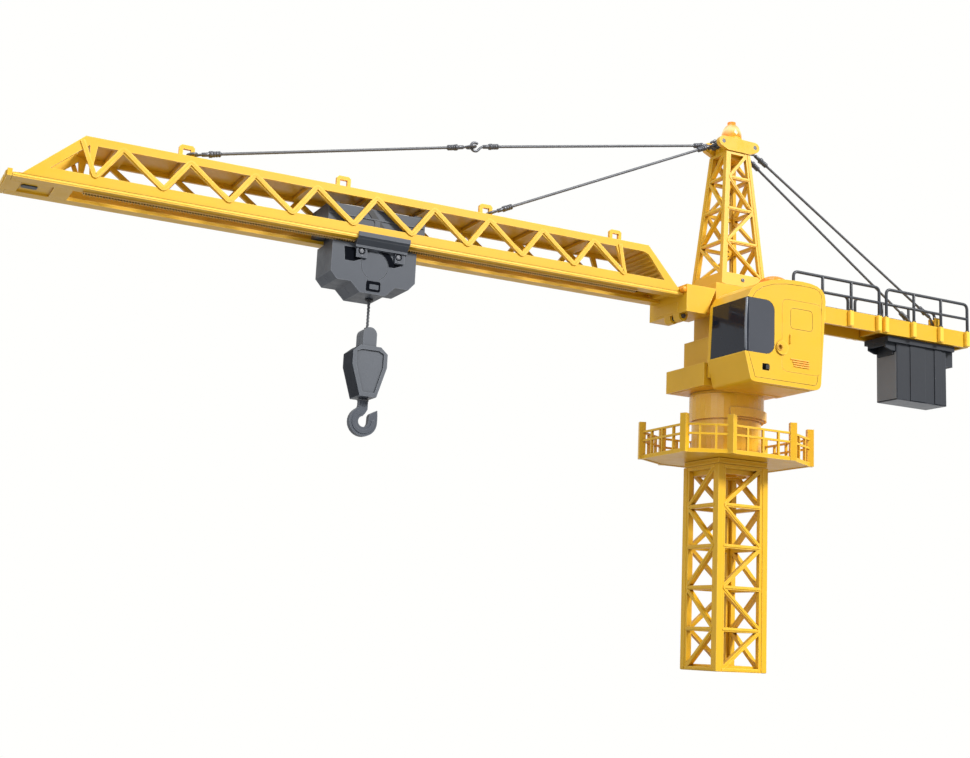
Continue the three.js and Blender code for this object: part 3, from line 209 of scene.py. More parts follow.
YELLOW = (0.76, 0.43, 0.014)
SLATE = (0.052, 0.061, 0.080)
finishes = {
    "yellow": make_finish("yellow_plastic", YELLOW, 0.38, (1.0, 0.72, 0.14), (0.27, 0.10, 0.003),
                          mottle=0.035, coat=0.06),
    "gloss_yellow": make_finish("gloss_yellow_plastic", (0.82, 0.46, 0.02), 0.28, (1.0, 0.75, 0.2),
                                (0.27, 0.10, 0.003), mottle=0.03, coat=0.45),
    "slate": make_finish("slate_plastic", SLATE, 0.42, (0.17, 0.185, 0.215), (0.010, 0.012, 0.017), bump=0.02,
                         mottle=0.04),
    "guard": make_finish("guard_rail_plastic", (0.040, 0.045, 0.056), 0.4, (0.13, 0.14, 0.16),
                         (0.01, 0.01, 0.014)),
    "ballast_box": make_finish("ballast_box_plastic", (0.014, 0.018, 0.027), 0.5, (0.06, 0.07, 0.09),
                               (0.008, 0.009, 0.014), bump=0.03),
    "steel": make_finish("steel_wire", (0.105, 0.11, 0.125), 0.45, (0.42, 0.43, 0.46), (0.012, 0.013, 0.016),
                         2600.0, 0.02, 0.25),
    "dark_steel": make_finish("blackened_steel", (0.10, 0.105, 0.12), 0.36, (0.34, 0.35, 0.38),
                              (0.010, 0.010, 0.013), 2200.0, 0.03, 0.5),
    # A paler tan copy of the yellow, painted light on the rack's downward teeth.
    "rack": make_finish("rack_plastic", (0.86, 0.56, 0.16), 0.45, (1.0, 0.8, 0.4), (0.16, 0.07, 0.012)),
    "pale_slate": make_finish("pale_slate_plastic", (0.085, 0.095, 0.115), 0.42, (0.2, 0.22, 0.25),
                              (0.012, 0.014, 0.02), bump=0.02, mottle=0.04),
    # A lighter copy of the ballast box colour, painted light on the box's left end and underside.
    "ballast_painted_light": make_finish("ballast_painted_light_plastic", (0.19, 0.205, 0.235), 0.42, (0.3, 0.32, 0.36),
                                (0.03, 0.035, 0.045), bump=0.02, mottle=0.04),
    "deep_slate": make_finish("deep_slate_plastic", (0.010, 0.013, 0.021), 0.55, (0.06, 0.07, 0.09),
                              (0.003, 0.003, 0.005), gloss=0.12),
    # A lighter yellow: on the jib's flange lips it is a painted highlight; the guard rail sockets are also
    # made in it.
    "pale_yellow": make_finish("pale_yellow_plastic", (0.98, 0.62, 0.06), 0.34, (1.0, 0.85, 0.4),
                               (0.4, 0.18, 0.008), mottle=0.03),
    "jet": make_finish("jet_plastic", (0.006, 0.007, 0.010), 0.5, (0.02, 0.022, 0.028), (0.002, 0.002, 0.003),
                       gloss=0.0),
    # A pale grey painted highlight on the rounded corner between the cab's windows.
    "corner_highlight": make_finish("window_corner_highlight", (0.17, 0.185, 0.215), 0.25, (0.4, 0.42, 0.46),
                          (0.03, 0.033, 0.04)),
    "can": make_finish("motor_can", (0.55, 0.56, 0.58), 0.3, (0.8, 0.8, 0.82), (0.2, 0.2, 0.21), 1800.0,
                       0.02, 0.9, stretch=(1.0, 12.0, 12.0)),
    "nylon": make_finish("gear_nylon", (0.78, 0.76, 0.68), 0.42, (0.9, 0.89, 0.84), (0.4, 0.38, 0.32)),
    "window": make_finish("smoked_window", (0.011, 0.015, 0.026), 0.09, (0.06, 0.07, 0.09),
                          (0.003, 0.003, 0.005), 300.0, 0.003, gloss=0.28),
    # A lighter copy of the smoked window, painted reflection on the cab's side window.
    "side_window": make_finish("smoked_side_window_painted_reflection", (0.060, 0.066, 0.082), 0.14, (0.2, 0.21, 0.24),
                               (0.02, 0.022, 0.03), 300.0, 0.003, coat=0.1),
    "black": make_finish("black_plastic", (0.012, 0.013, 0.016), 0.4, (0.07, 0.07, 0.08),
                         (0.004, 0.004, 0.005)),
    "board": make_finish("board_green", (0.03, 0.15, 0.06), 0.4, (0.1, 0.3, 0.14), (0.01, 0.05, 0.02)),
    "iron": make_finish("ballast_iron", (0.2, 0.2, 0.21), 0.55, (0.35, 0.35, 0.36), (0.06, 0.06, 0.06),
                        900.0, 0.08, 0.7),
    "beacon": glowing("beacon_amber", (0.9, 0.24, 0.02), 0.16, (1.0, 0.20, 0.015), 0.65, 1.0, 456.5),
    "roof_lamp": glowing("roof_lamp_amber", (0.90, 0.30, 0.02), 0.22, (1.0, 0.35, 0.03), 0.12),
    # A darker orange copy of the yellow, painted shade on the cab's louvres; the jib root knuckle is also
    # made in it.
    "louvre": make_finish("louvre_shade_orange", (0.86, 0.33, 0.012), 0.4, (1.0, 0.6, 0.1), (0.4, 0.14, 0.004)),
    "dark_yellow": make_finish("socket_plastic", (0.52, 0.25, 0.012), 0.45, (0.9, 0.55, 0.1),
                               (0.2, 0.08, 0.003)),
    "rope": make_finish("hoist_cord", (0.075, 0.08, 0.09), 0.6, (0.2, 0.21, 0.23), (0.015, 0.016, 0.02),
                        3000.0, 0.06),
    # A dark brown, painted shade for the groove above the flange lips and the roots between the rack's teeth.
    "gap": make_finish("painted_gap_shade", (0.045, 0.016, 0.002), 0.7, (0.12, 0.05, 0.006),
                       (0.01, 0.004, 0.001), gloss=0.05),
    "bulb": glowing("beacon_bulb_glow", (1.0, 0.75, 0.4), 0.3, (1.0, 0.62, 0.25), 6.0, 0.6, 454.0),
}
slot_finish = {
    "yellow_plastic": "yellow", "slate_plastic": "slate", "steel_wire": "steel", "motor_can": "can",
    "gear_nylon": "nylon", "smoked_window": "window", "amber_lens": "beacon", "roof_lamp_amber": "roof_lamp",
    "black_plastic": "black", "board_green": "board", "ballast_iron": "iron",
}
own_finish = {
    "hook_block_near": "pale_slate", "hook_block_far": "pale_slate", "slew_column": "gloss_yellow",
    "head_cap": "gloss_yellow", "cab_side_window": "side_window", "counterweight_box": "ballast_box",
    "jib_root_pin": "dark_steel", "jib_rack": "rack", "head_pin_front": "dark_steel",
    "head_pin_back": "dark_steel",
}

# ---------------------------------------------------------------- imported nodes

# Edges that turn by more than ROUNDED_ANGLE degrees are rounded, NODE_BEVEL mm wide unless BEVELS says so.
ROUNDED_ANGLE = 32
NODE_BEVEL = 0.4
BEVELS = {"jib_rack": 0.12, "jib_side_near": 0.3, "jib_side_far": 0.3, "cab_side_window": 0.08,
          "cab_front_window": 0.08, "circuit_board": 0.1, "travel_pinion": 0.08, "slew_pinion": 0.1,
          "slew_ring_gear": 0.1, "cab_door": 0.25, "drum_cover": 0.25, "beacon_lens": 0.2}


def soften(obj, width, segments=2):
    """Rounds the edges of a piece, as a mould leaves them, and shades it smoothly."""
    bevel = obj.modifiers.new("round_edges", "BEVEL")
    bevel.width = width * MM
    bevel.segments = segments
    bevel.limit_method = "ANGLE"
    bevel.angle_limit = math.radians(ROUNDED_ANGLE)
    bevel.use_clamp_overlap = True
    bevel.miter_outer = "MITER_ARC"
    bevel.harden_normals = True
    obj.data.shade_smooth()


def dress_nodes():
    for part in frame["record"]["subparts"]:
        name = part["node"]
        finish = finishes[own_finish.get(name, slot_finish[part["material_slot"]])]
        obj = nodes[name]
        obj.data.materials.clear()
        obj.data.materials.append(finish)
        for polygon in obj.data.polygons:
            polygon.material_index = 0
        soften(obj, BEVELS.get(name, NODE_BEVEL))


dress_nodes()

# ---------------------------------------------------------------- shape helpers, in millimetres

PLACES = {
    "XZ": lambda a, b, t: Vector((a, t, b)),
    "XY": lambda a, b, t: Vector((a, b, t)),
    "YZ": lambda a, b, t: Vector((t, a, b)),
}


def loft(bm, rings, ends="caps"):
    """Joins rings of points, each the same length, into one skin, with end caps or closed on itself."""
    made = [[bm.verts.new(p) for p in ring] for ring in rings]
    if ends == "ring":
        made.append(made[0])
    for low, high in zip(made, made[1:]):
        for i in range(len(low)):
            j = (i + 1) % len(low)
            bm.faces.new((low[i], low[j], high[j], high[i]))
    if ends == "caps":
        bm.faces.new(made[0][::-1])
        bm.faces.new(made[-1])


def prism(bm, outline, low, high, plane="XZ"):
    """Extrudes an outline in one plane from low to high along the third axis."""
    place = PLACES[plane]
    loft(bm, [[place(a, b, t) for a, b in outline] for t in (low, high)])


def block(bm, x0, x1, y0, y1, z0, z1):
    prism(bm, [(x0, y0), (x1, y0), (x1, y1), (x0, y1)], z0, z1, "XY")


def arc(cx, cy, radius, start, end, steps):
    angles = [start + (end - start) * i / steps for i in range(steps + 1)]
    return [(cx + radius * math.cos(t), cy + radius * math.sin(t)) for t in angles]


def round_rect(a0, a1, b0, b1, radius, steps=4):
    r = radius
    return (arc(a1 - r, b1 - r, r, 0, PI / 2, steps) + arc(a0 + r, b1 - r, r, PI / 2, PI, steps)
            + arc(a0 + r, b0 + r, r, PI, 1.5 * PI, steps) + arc(a1 - r, b0 + r, r, 1.5 * PI, 2 * PI, steps))


def filleted(points, radius, steps=5):
    """An open path whose corners are rounded."""
    points = [Vector(p) for p in points]
    path = [points[0]]
    for before, corner, after in zip(points, points[1:], points[2:]):
        start = corner + (before - corner).normalized() * radius
        end = corner + (after - corner).normalized() * radius
        for i in range(steps + 1):
            t = i / steps
            path.append(start * (1 - t) ** 2 + corner * (2 * t * (1 - t)) + end * t ** 2)
    return path + [points[-1]]


def ribbon(bm, path, width, low, high):
    """A flat strip that follows a path in the XZ plane, between two values of y."""
    path = [Vector((p[0], p[1])) for p in path]
    rings = []
    for i, p in enumerate(path):
        back = (p - path[i - 1]).normalized() if i else None
        ahead = (path[i + 1] - p).normalized() if i + 1 < len(path) else None
        along = ((back or ahead) + (ahead or back)).normalized()
        across = Vector((-along.y, along.x))
        straight = ahead or back
        miter = 1 / max(0.5, across.dot(Vector((-straight.y, straight.x))))
        reach = across * (width / 2 * miter)
        left, right = p + reach, p - reach
        rings.append([Vector((left.x, low, left.y)), Vector((right.x, low, right.y)),
                      Vector((right.x, high, right.y)), Vector((left.x, high, left.y))])
    loft(bm, rings)


def basis(axis):
    w = Vector(axis).normalized()
    u = w.cross(Vector((0, 0, 1)) if abs(w.z) < 0.9 else Vector((1, 0, 0))).normalized()
    return u, w.cross(u), w


def lathe(bm, profile, origin, axis, segments=24, hollow=False):
    """Turns [radius, distance along the axis] points about an axis; a hollow one is a ring."""
    u, v, w = basis(axis)
    origin = Vector(origin)
    rings = []
    for radius, along in profile:
        centre = origin + w * along
        angles = [2 * PI * k / segments for k in range(segments)]
        rings.append([centre + (u * math.cos(t) + v * math.sin(t)) * max(radius, 0.02) for t in angles])
    loft(bm, rings, "ring" if hollow else "caps")


def tube(bm, path, radius, sides=12, lobes=0, depth=0.0, pitch=1.0, ends=True):
    """A round or lobed and twisted bar along a path, with rounded ends."""
    points = [Vector(p) for p in path]
    tangents = []
    for i in range(len(points)):
        tangents.append((points[min(i + 1, len(points) - 1)] - points[max(i - 1, 0)]).normalized())
    normal = basis(tangents[0])[0]
    rings = []
    run = 0.0
    for i, (p, t) in enumerate(zip(points, tangents)):
        if i:
            normal = tangents[i - 1].rotation_difference(t) @ normal
            run += (p - points[i - 1]).length
        other = t.cross(normal)
        ring = []
        for k in range(sides):
            a = 2 * PI * k / sides
            r = radius + depth * math.cos(lobes * a - 2 * PI * lobes * run / pitch)
            ring.append((math.cos(a) * r, math.sin(a) * r, normal.copy(), other, p))
        rings.append((ring, t))
    skin = [[p + n * c + o * s for c, s, n, o, p in ring] for ring, _ in rings]
    if ends:
        for at, sign in ((0, -1), (-1, 1)):
            ring, t = rings[at]
            caps = []
            for shrink, push in ((0.82, 0.3), (0.4, 0.48)):
                caps.append([p + n * c * shrink + o * s * shrink + t * (sign * push * radius)
                             for c, s, n, o, p in ring])
            skin = caps[::-1] + skin if at == 0 else skin + caps
    loft(bm, skin)


def resample(points, step):
    """Points a step apart along a straight line between two ends."""
    a, b = Vector(points[0]), Vector(points[1])
    count = max(2, int((b - a).length / step))
    return [a.lerp(b, i / count) for i in range(count + 1)]


def turn_all(bm, matrix):
    bmesh.ops.transform(bm, matrix=matrix, verts=bm.verts)


def mirror_y(bm):
    """Adds the mirror image across the XZ plane."""
    copy = bmesh.ops.duplicate(bm, geom=bm.verts[:] + bm.edges[:] + bm.faces[:])["geom"]
    verts = [g for g in copy if isinstance(g, bmesh.types.BMVert)]
    bmesh.ops.scale(bm, vec=(1, -1, 1), verts=verts)


def merge(bm, other):
    """Moves the geometry of one bmesh into another."""
    mesh = bpy.data.meshes.new("scratch")
    other.to_mesh(mesh)
    other.free()
    bm.from_mesh(mesh)
    bpy.data.meshes.remove(mesh)


def screw(bm, place, axis, radius):
    """A pan-head screw with a cross recess, shown by four raised quarters."""
    lathe(bm, [(0, -0.6), (radius, -0.6), (radius, 0.25), (radius * 0.9, 0.42), (0, 0.44)], place, axis, 20)
    u, v, w = basis(axis)
    place = Vector(place)
    gap, rim = 0.24, radius * 0.62
    for a, b in ((u, v), (v, -u), (-u, -v), (-v, u)):
        outline = [(gap, gap), (rim, gap), (rim * 0.72, rim * 0.72), (gap, rim)]
        rings = [[place + a * p + b * q + w * t for p, q in outline] for t in (0.3, 0.66)]
        loft(bm, rings)


def piece(name, bm, finish, body, bevel=0.3, segments=2, replaces=(), mount=True):
    """Turns a bmesh in millimetres into a finished piece that rides on a body, unless it isn't mounted."""
    bmesh.ops.recalc_face_normals(bm, faces=bm.faces)
    bmesh.ops.scale(bm, vec=(MM, MM, MM), verts=bm.verts)
    mesh = bpy.data.meshes.new(name)
    bm.to_mesh(mesh)
    bm.free()
    obj = bpy.data.objects.new(name, mesh)
    bpy.context.scene.collection.objects.link(obj)
    mesh.materials.append(finishes[finish])
    if bevel:
        soften(obj, bevel, segments)
    else:
        mesh.shade_smooth()
    if mount:
        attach(obj, body)
    if replaces:
        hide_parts(*replaces)
    return obj


# ---------------------------------------------------------------- jib

# The zigzag's valleys start at VALLEY, PITCH apart, and each peak leans LEAN of a pitch past its valley.
VALLEY, PITCH, LEAN, VALLEYS = -531.0, 46.14, 0.37, 10
JIB_SIDE = 21.1
LOW, HIGH = 306.3, 329.6
ROOT_RIBS = 9


def jib_ribs():
    corners = [(-541.2, HIGH + 0.6)]
    for i in range(VALLEYS):
        corners.append((VALLEY + i * PITCH, LOW))
        if i + 1 < VALLEYS:
            corners.append((VALLEY + (i + LEAN) * PITCH, HIGH))
    corners.append((-120.6, HIGH + 0.4))
    path = filleted([(x, z, 0) for x, z in corners], 2.6)
    for name, side in (("jib_ribs_near", -1), ("jib_ribs_far", 1)):
        bm = bmesh.new()
        ribbon(bm, path, 3.1, side * (JIB_SIDE - 0.4), side * (JIB_SIDE + 0.95))
        ribbon(bm, path, 1.5, side * (JIB_SIDE + 0.5), side * (JIB_SIDE + 1.05))
        piece(name, bm, "yellow", "superstructure", 0.5, 3)


def jib_details():
    # A pale rod along each flange's lower edge, painted as the lip's highlight.
    bm = bmesh.new()
    tube(bm, [(-582.5, -22.0, 298.4), (-61.0, -22.0, 298.4)], 0.6, 10)
    mirror_y(bm)
    piece("jib_flange_lip_highlight", bm, "pale_yellow", "superstructure", 0)
    # Dark strips painted as the shadow line in the groove above each flange lip.
    bm = bmesh.new()
    block(bm, -579, -64, -21.3, -20.9, 299.75, 300.15)
    mirror_y(bm)
    piece("jib_flange_seam_shadow", bm, "gap", "superstructure", 0.08)
    bm = bmesh.new()
    for y0, y1 in ((-20.4, -12.6), (-9.5, 9.5), (12.6, 20.4)):
        prism(bm, round_rect(y0, y1, 297.9, 301.2, 1.2), -587.3, -585.6, "YZ")
    piece("jib_nose_pads", bm, "yellow", "superstructure", 0.45, 3)
    # A black plate painted as the shade in the hollow at the jib tip.
    bm = bmesh.new()
    prism(bm, round_rect(-574.5, -564, -3.2, 3.2, 1.6), 297.7, 298.6, "XY")
    piece("jib_tip_hollow_shade", bm, "black", "superstructure", 0.15)
    bm = bmesh.new()
    foot, head = Vector((-69.5, 0, 304.4)), Vector((-95.5, 0, 329.8))
    for i in range(ROOT_RIBS):
        p = foot.lerp(head, (i + 0.5) / ROOT_RIBS)
        block(bm, p.x - 1.9, p.x - 0.1, -17.6, 17.6, p.z - 1.2, p.z + 0.6)
    piece("jib_root_ribs", bm, "yellow", "superstructure", 0.35)
    bm = bmesh.new()
    lathe(bm, [(1.9, -2.4), (2.5, -1.9), (2.5, 1.9), (1.9, 2.4)], (-61.2, -24.2, 301.6), (0, 1, 0), 20)
    piece("jib_root_knuckle", bm, "louvre", "superstructure", 0)
    # A dark strip painted as the shade among the roots of the rack's teeth.
    bm = bmesh.new()
    block(bm, -536.6, -99.2, -14.98, -14.7, 295.25, 296.4)
    piece("rack_gap_shadow", bm, "gap", "superstructure", 0.08)
    bm = bmesh.new()
    block(bm, -66.4, -60.9, -18.3, 18.3, 299.9, 303.9)
    piece("jib_root_sill", bm, "yellow", "superstructure", 0.4)
    bm = bmesh.new()
    prism(bm, round_rect(-15, 18.5, 285.6, 292.9, 1.0), -60.5, -59.8, "YZ")
    piece("root_block_panel", bm, "yellow", "superstructure", 0.22)


# ---------------------------------------------------------------- mast and tower head


def face_turns():
    return [Matrix.Rotation(-k * PI / 2, 4, "Z") for k in range(4)]


def corner_angle(half, leg, depth, sx, sy):
    """An L-shaped section round one corner of a square."""
    shape = [(0, 0), (leg, 0), (leg, depth), (depth, depth), (depth, leg), (0, leg)]
    return [(sx * (half - a), sy * (half - b)) for a, b in shape]


MAST_HALF, MAST_OPEN, MAST_HEIGHT, MAST_BAYS = 24.0, 17.0, 164.0, 5


def mast_details():
    half, open_half, height, bays = MAST_HALF, MAST_OPEN, MAST_HEIGHT, MAST_BAYS
    bay = height / bays
    bm = bmesh.new()
    for sx in (-1, 1):
        for sy in (-1, 1):
            prism(bm, corner_angle(half + 0.6, 5.0, 1.0, sx, sy), 0.3, height - 0.2, "XY")
    piece("mast_corner_strips", bm, "yellow", "tower", 0.35)
    bm = bmesh.new()
    for turn in face_turns():
        face = bmesh.new()
        for i in range(bays):
            side = -1 if i % 2 else 1
            low, high = i * bay + 0.6, (i + 1) * bay - 0.6
            diagonal = [Vector((-side * (open_half + 0.6), low)), Vector((side * (open_half + 0.6), high))]
            ribbon(face, diagonal, 1.5, -half - 0.55, -half + 0.3)
            if i:
                rail = [Vector((-open_half - 1.2, i * bay)), Vector((open_half + 1.2, i * bay))]
                ribbon(face, rail, 1.5, -half - 0.6, -half + 0.3)
        for z in (1.6, height - 1.6):
            block(face, -open_half - 1.5, open_half + 1.5, -half - 0.45, -half + 0.3, z - 1.1, z + 1.1)
        turn_all(face, turn)
        merge(bm, face)
    piece("mast_brace_ribs", bm, "yellow", "tower", 0.3)
    bm = bmesh.new()
    for z, grow in ((165.2, 0.35), (168.0, 0.5)):
        reach = half + grow
        prism(bm, round_rect(-reach, reach, -reach, reach, 1.0), z - 0.5, z + 0.5, "XY")
    piece("mast_collar_bands", bm, "yellow", "tower", 0.25)


HEAD_FOOT, HEAD_TOP, HEAD_LEG = 313.6, 433.8, 4.4
HEAD_FOOT_HALF, HEAD_TOP_HALF = 22.0, 11.85
HEAD_SCREW = 319.2
HEAD_LEVELS = (322.9, 352.2, 381.8, 410.2, 433.8)


def head_half(z):
    return HEAD_FOOT_HALF + (HEAD_TOP_HALF - HEAD_FOOT_HALF) * (z - HEAD_FOOT) / (HEAD_TOP - HEAD_FOOT)


def head_details():
    bm = bmesh.new()
    for turn in face_turns():
        face = bmesh.new()
        for i, (z0, z1) in enumerate(zip(HEAD_LEVELS, HEAD_LEVELS[1:])):
            side = -1 if i % 2 == 0 else 1
            reach0, reach1 = head_half(z0) - HEAD_LEG + 0.4, head_half(z1) - HEAD_LEG + 0.4
            diagonal = [Vector((-side * reach0, z0 + 0.5)), Vector((side * reach1, z1 - 0.5))]
            ribbon(face, diagonal, 1.3, -0.5, 0.3)
            if i:
                ribbon(face, [Vector((-reach0 - 0.6, z0)), Vector((reach0 + 0.6, z0))], 1.3, -0.5, 0.3)
        for v in face.verts:
            v.co.y -= head_half(v.co.z)
        turn_all(face, turn)
        merge(bm, face)
    piece("head_brace_ribs", bm, "yellow", "superstructure", 0.26)
    bm = bmesh.new()
    for sx in (-1, 1):
        for sy in (-1, 1):
            rings = []
            for z in (HEAD_FOOT + 0.2, HEAD_TOP - 0.6):
                section = corner_angle(head_half(z) + 0.5, 3.1, 0.9, sx, sy)
                rings.append([Vector((x, y, z)) for x, y in section])
            loft(bm, rings)
    piece("head_corner_strips", bm, "yellow", "superstructure", 0.3)
    bm = bmesh.new()
    for side in (-1, 1):
        screw(bm, (-0.9, side * (head_half(HEAD_SCREW) + 0.1), HEAD_SCREW), (0, side, 0), 1.7)
    piece("head_screws", bm, "dark_steel", "superstructure", 0.1)


# ---------------------------------------------------------------- counter-jib

POSTS = {"inner": (52.8, 84.2, 115.6, 147.0), "outer": (155.2, 187.0, 218.8, 250.6)}
GUARD_Y, GUARD_TUBE = 20.3, 1.35
GUARD_FOOT, GUARD_MIDDLE, GUARD_TOP = 309.6, 322.6, 337.5


def guard_rails():
    for section, posts in POSTS.items():
        for word, side in (("near", -1), ("far", 1)):
            y = side * GUARD_Y
            top = GUARD_TOP - GUARD_TUBE
            bm = bmesh.new()
            first, last = posts[0], posts[-1]
            hoop = [(first, y, GUARD_FOOT), (first, y, top), (last, y, top), (last, y, GUARD_FOOT)]
            tube(bm, filleted(hoop, 5.0, 8), GUARD_TUBE, 14)
            tube(bm, [(first, y, GUARD_MIDDLE), (last, y, GUARD_MIDDLE)], GUARD_TUBE * 0.92, 12)
            for x in posts[1:-1]:
                tube(bm, [(x, y, GUARD_FOOT), (x, y, top)], GUARD_TUBE, 12)
            for x in posts:
                lathe(bm, [(1.4, -1), (1.75, -0.8), (1.75, 0.5), (1.4, 0.8)], (x, y, 311.4), (0, 0, 1), 14)
            name = f"guard_rail_tubes_{word}_{section}"
            replaced = f"guard_rail_{word}_{section}"
            piece(name, bm, "guard", "superstructure", 0, replaces=(replaced,))
    bm = bmesh.new()
    for posts in POSTS.values():
        for x in posts:
            for side in (-1, 1):
                outline = [(x - 2.3, side * 18.4), (x + 2.3, side * 18.4), (x + 2.3, side * 21.2),
                           (x + 1.5, side * 21.9), (x - 1.5, side * 21.9), (x - 2.3, side * 21.2)]
                prism(bm, outline, 297.2, 311.0, "XY")
    piece("guard_rail_sockets", bm, "pale_yellow", "superstructure", 0.45, 3)


BEAM_RIBS, BEAM_RIB_START, BEAM_RIB_PITCH = 18, 36, 7.4
BEAM_GAPS = (95, 158)
TREADS, TREAD_START, TREAD_PITCH = 12, 46, 16.2
# The ballast box's upright panels: start, end, and how far each stands proud.
BALLAST_PANELS = ((174.3, 188.9, 0.25), (188.9, 206.4, 0.9), (206.4, 217.2, 0.35), (217.2, 225.2, 1.1),
                  (225.2, 230.9, 0.5))


def counter_jib_details():
    bm = bmesh.new()
    for i in range(BEAM_RIBS):
        x = BEAM_RIB_START + i * BEAM_RIB_PITCH
        if all(abs(x - gap) > 3 for gap in BEAM_GAPS):
            block(bm, x - 0.7, x + 0.7, -15.4, 15.4, 305.4, 308.9)
    for y in (-7.8, 0, 7.8):
        block(bm, 31.6, 160, y - 0.8, y + 0.8, 304.2, 308.9)
    piece("counter_jib_ribs", bm, "yellow", "superstructure", 0.25)
    bm = bmesh.new()
    for x0, x1, proud in BALLAST_PANELS:
        for side in (-1, 1):
            low, high = sorted((side * 12.5, side * (12.6 + proud)))
            block(bm, x0, x1, low, high, 241.6, 291.8)
    piece("counterweight_panels", bm, "ballast_box", "superstructure", 0.3)
    # Pale plates on the box's left end and underside: painted light, lighter than the rest of the box.
    bm = bmesh.new()
    prism(bm, round_rect(-12.2, 12.2, 241.9, 283.6, 0.5), 173.15, 173.7, "YZ")
    prism(bm, round_rect(174.6, 230.8, -12.2, 12.2, 0.5), 240.75, 241.2, "XY")
    piece("counterweight_painted_light_plates", bm, "ballast_painted_light", "superstructure", 0.15)
    bm = bmesh.new()
    cheek = [(161.8, 292.2), (161.8, 286.6), (168.8, 284.4), (173.9, 284.4), (173.9, 292.2)]
    prism(bm, cheek, -11.6, -9.6)
    prism(bm, cheek, 9.6, 11.6)
    block(bm, 161.8, 164.2, -9.8, 9.8, 288.4, 292.2)
    block(bm, 171.4, 173.9, -9.8, 9.8, 281.5, 292.2)
    piece("counterweight_hanger", bm, "ballast_box", "superstructure", 0.35)
    bm = bmesh.new()
    for i in range(TREADS):
        x = TREAD_START + i * TREAD_PITCH
        for y in (-9.5, 0, 9.5):
            prism(bm, round_rect(x - 5.2, x + 5.2, y - 1.1, y + 1.1, 1.05), 310.8, 311.6, "XY")
    piece("deck_treads", bm, "yellow", "superstructure", 0.25)


# ---------------------------------------------------------------- stays

# A stay hook's bend, the length to its ferrule, the radius of its wire and the radius of the stay.
BEND, REACH, WIRE, CABLE = 3.5, 12.0, 1.0, 1.15
LUG_FIRST, LUG_PITCH = -466.5, 117.8


def stay_matrix(start, end):
    along = (end - start).normalized()
    sideways = Vector((-along.y, along.x, 0)).normalized()
    up = along.cross(sideways)
    return Matrix.Translation(start) @ Matrix((along, sideways, up)).transposed().to_4x4()


def stay_hook(bm, turn, place):
    """An open hook of round wire whose stem runs into the ferrule."""
    hook = bmesh.new()
    bend = [(x, 0, z) for x, z in arc(0, 0, BEND, 0.75, 2 * PI - 1.05, 22)]
    corners = [bend[-1], (BEND * 0.9, 0, -BEND * 0.55), (BEND + 2.2, 0, -0.1), (REACH + 1, 0, 0)]
    stem = filleted(corners, 1.3, 5)
    tube(hook, bend[:-1] + stem, WIRE, 12)
    lathe(hook, [(1.0, 6.6), (1.55, 7.2), (1.6, REACH), (1.3, REACH + 0.6)], (0, 0, 0), (1, 0, 0), 16)
    turn_all(hook, place @ Matrix.Rotation(turn, 4, "X"))
    merge(bm, hook)


def ferrule(bm, place):
    """A hexagonal collar and three crimped rings."""
    body = bmesh.new()
    hexagon = [(2.0, 0), (2.55, 0.4), (2.55, 2.6), (2.0, 3.0)]
    lathe(body, hexagon, (REACH, 0, 0), (1, 0, 0), 6)
    rings = [(1.75, 2.9)]
    for k in range(3):
        t = 3.1 + k * 1.95
        rings += [(1.75, t), (2.2, t + 0.25), (2.2, t + 1.25), (1.75, t + 1.5)]
    rings += [(1.3, 9.2)]
    lathe(body, rings, (REACH, 0, 0), (1, 0, 0), 24)
    turn_all(body, place)
    merge(bm, body)


def stays():
    lugs = [Vector((LUG_FIRST + k * LUG_PITCH + 4.2, 0, 342.0)) for k in (0, 2)]
    middle = Vector((-244.0, 0, 392.6))
    front = Vector((-15.7, 0, 441.0))
    offset = Vector((1.6, 0, 0.35))
    flat = PI / 2
    runs = [
        ("forestay_outer", lugs[0], middle - offset, flat, flat),
        ("forestay_inner", middle + offset, front + Vector((0, 1.9, 0)), 0, 0),
        ("forestay_lower", lugs[1], front - Vector((0, 1.9, 0)), flat, 0),
    ]
    for name, side in (("backstay_near", -1), ("backstay_far", 1)):
        top, foot = Vector((16.8, side * 5, 441)), Vector((218.6, side * 12.6, 317))
        runs.append((name, top, foot, 0, 0))
    for name, start, end, turn_a, turn_b in runs:
        length = (end - start).length
        place = stay_matrix(start, end)
        back = place @ Matrix.Translation((length, 0, 0)) @ Matrix.Rotation(PI, 4, "Z")
        bm = bmesh.new()
        for here, turn in ((place, turn_a), (back, turn_b)):
            stay_hook(bm, turn, here)
            ferrule(bm, here)
        piece(f"{name}_fittings", bm, "dark_steel", "superstructure", 0)
        bm = bmesh.new()
        line = resample([(REACH + 8, 0, 0), (length - REACH - 8, 0, 0)], 0.8)
        tube(bm, line, CABLE - 0.12, 18, 6, 0.13, 11.0, ends=False)
        turn_all(bm, place)
        piece(f"{name}_wire", bm, "steel", "superstructure", 0, replaces=(name,))


# ---------------------------------------------------------------- cab

CAB_NEAR = -80.0
BOSS = (-8.6, 251.4)


